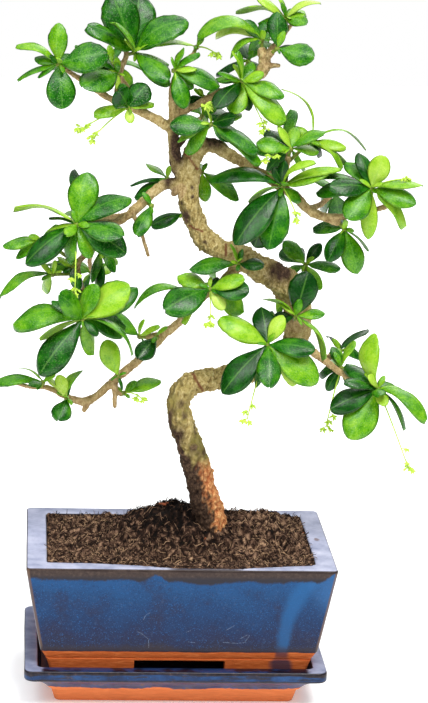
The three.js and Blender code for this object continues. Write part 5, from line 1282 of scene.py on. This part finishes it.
class Foliage:
    """Lays the leaves of all the sprays clear of the wood and of each other."""

    def __init__(self):
        self.seed = DRAW_SEED
        self.right, self.up, self.toward = view_axes(LEAF_YAW, LEAF_PITCH, LEAF_ROLL)
        starts, spans, radii, gains = [], [], [], []
        for points in LIMBS.values():
            for a, b in zip(points, points[1:]):
                starts.append(a[:3])
                spans.append([b[i] - a[i] for i in range(3)])
                radii.append(a[3])
                gains.append(b[3] - a[3])
        self.starts, self.spans = np.array(starts, float), np.array(spans, float)
        self.radii, self.gains = np.array(radii, float), np.array(gains, float)
        self.squares = (self.spans ** 2).sum(1)
        self.taken = {}
        along = [i / PROBES_ALONG for i in range(2, PROBES_ALONG + 1)]
        across = [j / PROBES_ACROSS for j in range(-PROBES_ACROSS, PROBES_ACROSS + 1)]
        self.probe_t = np.array([t for t in along for s in across])
        self.probe_side = np.array([s * half_width_at(t) for t in along for s in across])

    def draw(self):
        self.seed = (self.seed * DRAW_FACTOR + DRAW_ADDEND) % DRAW_RANGE
        return self.seed / DRAW_RANGE

    def from_view(self, reach):
        return self.right * reach[0] + self.up * reach[1] + self.toward * reach[2]

    def nearest_wood(self, places):
        """For each place, the foot, girth and clearance of the nearest stretch of wood."""
        offset = places[:, None, :] - self.starts[None]
        share = np.clip((offset * self.spans[None]).sum(2) / self.squares[None], 0, 1)
        foot = self.starts[None] + share[..., None] * self.spans[None]
        girth = self.radii[None] + share * self.gains[None]
        clear = np.sqrt(((places[:, None, :] - foot) ** 2).sum(2)) - girth
        best = clear.argmin(1)
        row = np.arange(len(places))
        return foot[row, best], girth[row, best], clear[row, best]

    def take(self, places, ts, spray):
        for (x, y, z), t in zip(places.tolist(), ts):
            key = (math.floor(x / CELL), math.floor(y / CELL), math.floor(z / CELL))
            self.taken.setdefault(key, []).append((x, y, z, t, spray))

    def is_free(self, places, ts, spray, own_gap):
        taken = self.taken
        for (x, y, z), t in zip(places.tolist(), ts.tolist()):
            i, j, k = math.floor(x / CELL), math.floor(y / CELL), math.floor(z / CELL)
            for a in (i - 1, i, i + 1):
                for b in (j - 1, j, j + 1):
                    for c in (k - 1, k, k + 1):
                        for other in taken.get((a, b, c), ()):
                            own = other[4] == spray
                            if own and (t < ROOT_SHARE or other[3] < ROOT_SHARE):
                                continue
                            gap = own_gap if own else SPRAY_GAP
                            dx, dy, dz = other[0] - x, other[1] - y, other[2] - z
                            if dx * dx + dy * dy + dz * dz < gap * gap:
                                return False
        return True

    def along_line(self, start, end, t, spray):
        steps = math.ceil(float(np.sqrt(((end - start) ** 2).sum())) / LINE_STEP)
        places = np.array([start + (end - start) * (k / steps) for k in range(steps + 1)])
        self.take(places, [t] * len(places), spray)

    def lay_clear(self, spray, root, leaf, tries):
        for share, own_gap in tries:
            for lean in LEANS:
                laid = self.lay_leaf(root, leaf, share, lean * math.pi / 180)
                places = leaf_points(laid, self.probe_t, self.probe_side)
                if (self.nearest_wood(places)[2].min() > WOOD_GAP
                        and self.is_free(places, self.probe_t, spray, own_gap)):
                    self.take(places, self.probe_t.tolist(), spray)
                    return [laid]
        return []

    def lay_leaf(self, root, leaf, share, lean):
        reach = leaf["reach"]
        right, up, toward, turn, tint = reach[:5]
        bend = reach[5] if len(reach) > 5 else DEFAULT_BEND
        flat = math.sqrt(right * right + up * up)
        long = share * math.sqrt(flat * flat + toward * toward)
        tilt = math.atan2(toward, flat) + lean
        reach_flat = math.cos(tilt) / flat
        axis = self.from_view([reach_flat * right, reach_flat * up, math.sin(tilt)])
        axis = axis / math.sqrt(axis.dot(axis))
        sight = self.toward + 0.3 * self.up
        front = sight - axis * sight.dot(axis)
        front = front / math.sqrt(front.dot(front))
        turned = (1 if right >= 0 else -1) * turn * math.pi / 180
        face = front * math.cos(turned) + np.cross(front, axis) * math.sin(turned)
        return {"root": root, "axis": axis, "face": face, "across": np.cross(face, axis), "long": long,
                "half": 0.5 * leaf["breadth"] * long, "bend": bend, "tint": tint, "toothed": leaf["toothed"]}

    def set_out(self, index, name, spray):
        """A spray's middle clear of the bark, its shoot and its flower stalks."""
        middle = np.array(spray["at"], float)
        foot, girth, clear = (found[0] for found in self.nearest_wood(middle[None]))
        out = middle - foot
        far = math.sqrt(out.dot(out))
        root = foot + out / far * max(far, girth + KNOB_RADIUS + 1)
        hanging = []
        for reach in spray.get("stalks", []):
            end = root + self.from_view(reach)
            hanging.append((root, root + self.from_view(reach) * 0.4 + self.up * 3, end))
        self.along_line(foot, root, 1, index)
        for start, shoulder, end in hanging:
            self.along_line(start, shoulder, 0, index)
            self.along_line(shoulder, end, 0, index)
        return {"name": name, "foot": foot, "root": root, "hanging": hanging, "leaves": [], "young": []}

    def lay_all(self):
        sprays = [self.set_out(index, name, spray) for index, (name, spray) in enumerate(SPRAYS.items())]
        for index, (spray, wanted) in enumerate(zip(sprays, SPRAYS.values())):
            for reach in wanted["leaves"]:
                breadth = reach[6] if len(reach) > 6 else 0.48 + 0.08 * self.draw()
                toothed = self.draw() < TOOTHED_SHARE
                leaf = {"reach": reach, "breadth": breadth, "toothed": toothed}
                spray["leaves"] += self.lay_clear(index, spray["root"], leaf, HAND_TRIES)
        for index, (spray, wanted) in enumerate(zip(sprays, SPRAYS.values())):
            for k in range(wanted["spare"]):
                angle = index + k * GOLDEN_ANGLE
                lean = -45 - 30 * self.draw() if wanted["leaves"] else -15 - 55 * self.draw()
                lean = lean * math.pi / 180
                long = 22 + 9 * self.draw()
                flat = long * math.cos(lean)
                reach = [flat * math.cos(angle), flat * math.sin(angle), long * math.sin(lean)]
                reach += [60 * self.draw(), 0.5 * self.draw(), 0.04 + 0.1 * self.draw()]
                breadth = 0.48 + 0.08 * self.draw()
                leaf = {"reach": reach, "breadth": breadth, "toothed": self.draw() < TOOTHED_SHARE}
                spray["leaves"] += self.lay_clear(index, spray["root"], leaf, SPARE_TRIES)
        return [spray for spray in sprays if spray["leaves"]]

    def add_young(self, sprays, chance):
        """The small bright leaves that unfold in the heart of each spray."""
        for index, spray in enumerate(sprays):
            start = chance.uniform(0, 2 * math.pi)
            for k in range(3 if len(spray["leaves"]) > 3 else 2):
                angle = start + k * GOLDEN_ANGLE
                long = chance.uniform(5, 9.5)
                toward = long * chance.uniform(0.3, 0.9)
                reach = [long * math.cos(angle), long * (0.3 + math.sin(angle)), toward,
                         chance.uniform(0, 60), chance.uniform(0.3, 0.65), 0.16]
                leaf = {"reach": reach, "breadth": chance.uniform(0.4, 0.5), "toothed": False}
                spray["young"] += self.lay_clear(index, spray["root"], leaf, YOUNG_TRIES)


def half_width_at(t):
    if t < PETIOLE:
        return 0.14
    u = (t - PETIOLE) / (1 - PETIOLE)
    return 0.14 + 0.86 * max(0.0, math.sin(math.pi * u ** 1.25)) ** 0.8


def leaf_points(leaf, t, side):
    """Points of a leaf's middle surface for arrays of places along it and half widths across."""
    out = side * leaf["half"]
    rise = leaf["long"] * leaf["bend"] * 4 * t * (1 - t) - FOLD * np.abs(out)
    return (leaf["root"] + np.outer(leaf["long"] * t, leaf["axis"]) + np.outer(rise, leaf["face"])
            + np.outer(out, leaf["across"]))


# Leaves and flowers

ALONG = np.array([0.0, 0.05, 0.09, 0.13, 0.18, 0.24, 0.31, 0.38, 0.46, 0.54, 0.62, 0.70, 0.78, 0.85, 0.91,
                  0.955, 0.985, 1.0])
ACROSS = np.array([-1.0, -0.8, -0.52, -0.22, 0.0, 0.22, 0.52, 0.8, 1.0])


def leaf_layout():
    """A blade's upper and lower faces, which share its edge, and the vertices that both sides have."""
    long, wide = len(ALONG), len(ACROSS)
    upper = grid_faces(wide - 1, long - 1)
    inner = [k * wide + j for k in range(1, long - 1) for j in range(1, wide - 1)]
    under = list(range(long * wide))
    for extra, place in enumerate(inner):
        under[place] = long * wide + extra
    lower = [tuple(under[i] for i in turned_over(face)) for face in upper]
    return upper, lower, inner


UPPER, LOWER, INNER = leaf_layout()


def leaf_outline():
    """Half widths along a blade: a short petiole, widest past the middle, and a blunt tip."""
    wide = []
    for t in ALONG:
        if t < PETIOLE:
            wide.append(0.11)
            continue
        u = (t - PETIOLE) / (1 - PETIOLE)
        body = 0.11 + 0.89 * max(0.0, math.sin(math.pi * u ** 1.28)) ** 0.66
        wide.append(body * (1 - max(0.0, t - 0.97) * 12))
    return np.array(wide)


OUTLINE = leaf_outline()


def add_leaf(build, leaf, chance):
    """One blade with a petiole, a sunken midrib, waved and rolled edges, and an underside."""
    wide = len(ACROSS)
    t = np.repeat(ALONG, wide)
    s = np.tile(ACROSS, len(ALONG))
    half = np.repeat(OUTLINE, wide)
    if leaf["toothed"]:
        teeth = np.where(t > 0.5, 0.035 * np.sin(t * 46) * np.abs(s) ** 6, 0)
        half = half * (1 + teeth)
        t = np.where(np.abs(s) < 0.2, t - 0.02 * np.clip((t - 0.8) / 0.2, 0, 1), t)
    blade = np.clip((t - PETIOLE) / 0.12, 0, 1)
    points = leaf_points(leaf, t, s * half)
    size = min(1.0, leaf["long"] / 18)
    wave = leaf["half"] * np.abs(s) ** 3 * blade
    phase, pitch = chance.uniform(0, 6.3), chance.uniform(5, 9)
    rolled = -0.13 * wave + 0.09 * wave * np.sin(pitch * t + phase + (s > 0) * 1.7)
    quilted = 0.025 * size * blade * (1 - s ** 2) * np.cos(2 * math.pi * (5.0 * t - 1.1 * np.abs(s)))
    twist = chance.uniform(-0.12, 0.12) * leaf["half"] * s * t * blade
    cupped = chance.uniform(-0.10, 0.10) * leaf["half"] * s ** 2 * blade
    thick = (0.24 + 0.3 * (1 - blade)) * (1 - s ** 2) * size
    groove = -0.22 * size * blade * np.exp(-(s / 0.12) ** 2)
    keel = 0.26 * size * blade * (1 - 0.6 * t) * np.exp(-(s / 0.14) ** 2)
    middle = rolled + twist + cupped + quilted
    upper = points + np.outer(middle + thick + groove, leaf["face"])
    lower = points + np.outer(middle - thick - keel, leaf["face"])
    start = build.add(np.vstack([upper, lower[INNER]]), UPPER, 0, tint=leaf["tint"], vary=chance.random(),
                      along=np.concatenate([t, t[INNER]]), across=np.concatenate([s, s[INNER]]))
    build.add_faces(start, LOWER, 1)


def leaf_material(name, rough, gloss, stops, vein_colour, vein_share):
    """A leaf's face, from its ramp of greens: blotched, dotted, with a midrib, side veins and a pale edge."""
    look = Look(name, rough, gloss)
    place, vary, along = look.place, look.attribute("vary"), look.attribute("along")
    broad = place.noise(120, 3, 0.6)
    fine = place.noise(1300, 3, 0.65)
    shade = look.attribute("tint").swayed(broad, 0.7).swayed(vary, 0.26)
    shade = shade.swayed(fine, 0.6).swayed(along, -0.08)
    dots = place.through("TexVoronoi", {"Vector": place, "Scale": 850}, "Distance")
    dotted = dots.between(0.34, 0.14) * vary.between(0.1, 0.9) * 0.24
    colour = shade.ramp(*stops).mixed(dotted, (186, 214, 150))
    off = abs(look.attribute("across"))
    slanted = along * 10 - off * 2.2
    wave = slanted.maths("PINGPONG", slanted, 0.5)
    vein = wave.between(0.09, 0) * off.between(0.95, 0.6)
    lines = (off.between(0.09, 0.02) * 0.26).at_least(vein * vein_share)
    colour = colour.mixed(lines, vein_colour)
    colour = colour.mixed(off.between(0.93, 1) * 0.35, (120, 178, 60))
    height = wave.between(0, 0.4) * 0.14 + fine * 0.55
    return look.painted(colour, broad * 0.28 + (rough - 0.16), height, 0.42, 0.0006)


def leafy_materials():
    top = leaf_material("leaf_top", 0.3, 0.33, (
        (0.0, 0, 54, 0), (0.18, 22, 96, 0), (0.38, 78, 142, 3), (0.6, 132, 180, 28), (0.82, 162, 196, 60),
        (1.0, 188, 214, 100)), (112, 170, 66), 0.04)
    under = leaf_material("leaf_under", 0.5, 0.2, (
        (0.0, 52, 100, 36), (0.35, 82, 134, 44), (0.7, 134, 176, 50), (1.0, 170, 206, 72)),
        (158, 190, 104), 0.35)
    shoot = mottled_material("green_shoot", 500, (88, 96, 34), (136, 156, 54), 0.3, 0.5, 0.3)
    flower = mottled_material("yellow_green_flower", 700, (150, 196, 36), (204, 228, 92), 0.2, 0.5, 0.3)
    return [top, under, shoot, flower]


# The places of these materials on a spray
SHOOT_SLOT = 2
FLOWER_SLOT = 3

# The shoot from the wood to a spray's middle: shares of its length, and its radii there
SHOOT_SHARES = (0.0, 0.35, 0.7, 1.0)
SHOOT_RADII = (1.35, 1.2, 1.15, 1.3)
HEART_RADIUS = 2.0

# A flower stalk: its steps, its radius at both ends, and the steps that its small stems start from
STALK_STEPS = 12
STALK_RADII = (0.6, 0.38)
STEM_STEPS = (11, 11, 11, 11, 10, 11, 9)

# The seeds of the blades' waves and flowers, and of the young leaves
BLADE_SEED = 11
YOUNG_SEED = 23


def add_flowers(build, start, shoulder, end, chance):
    """A thin hanging stalk that forks into a loose head of buds and small open flowers."""
    ts = np.linspace(0, 1, STALK_STEPS)
    path = [(1 - t) ** 2 * start + 2 * t * (1 - t) * shoulder + t * t * end for t in ts]
    build.add_tube(path, np.linspace(*STALK_RADII, STALK_STEPS), 6, FLOWER_SLOT)
    along = (end - path[-3]) / np.linalg.norm(end - path[-3])
    for index, step in enumerate(STEM_STEPS):
        base = path[step]
        aim = np.array([chance.uniform(-1, 1), chance.uniform(-1, 1), chance.uniform(-0.6, 0.3)])
        aim = aim / np.linalg.norm(aim) + along * 0.35
        tip = base + aim / np.linalg.norm(aim) * chance.uniform(2.2, 4.6)
        bowed = 0.5 * (base + tip) + np.array([0, 0, 0.5])
        build.add_tube([base, bowed, tip], [0.26, 0.22, 0.24], 5, FLOWER_SLOT)
        size = chance.uniform(0.95, 1.4)
        bud = [tip + (tip - base) * share for share in (-0.45, -0.2, 0.1, 0.3)]
        build.add_tube(bud, [0.3, 0.75 * size, 0.7 * size, 0.15], 6, FLOWER_SLOT)
        if index % 2 == 0:
            for petal in range(5):
                angle = petal * 2 * math.pi / 5 + chance.random()
                out = np.array([math.cos(angle), math.sin(angle) * 0.6, -0.5 + math.sin(angle) * 0.5])
                blade = [tip, tip + 1.3 * size * out, tip + 2.3 * size * out]
                build.add_tube(blade, [0.35, 0.6 * size, 0.12], 5, FLOWER_SLOT)


def make_foliage():
    chance = random.Random(BLADE_SEED)
    foliage = Foliage()
    sprays = foliage.lay_all()
    foliage.add_young(sprays, random.Random(YOUNG_SEED))
    materials = leafy_materials()
    for spray in sprays:
        build = Builder()
        foot, root = spray["foot"], spray["root"]
        path = [foot + (root - foot) * share for share in SHOOT_SHARES]
        build.add_tube(path, SHOOT_RADII, 8, SHOOT_SLOT)
        build.add(BALL * HEART_RADIUS + root, ICOSAHEDRON, SHOOT_SLOT)
        for leaf in spray["leaves"] + spray["young"]:
            add_leaf(build, leaf, chance)
        for start, shoulder, end in spray["hanging"]:
            add_flowers(build, start, shoulder, end, chance)
        node_name = "spray_" + spray["name"]
        build.build(node_name + "_piece", materials, "leaf", [node_name])


def main():
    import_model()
    make_camera()
    make_studio()
    make_pot()
    make_tray()
    make_soil()
    make_wood()
    make_foliage()


main()
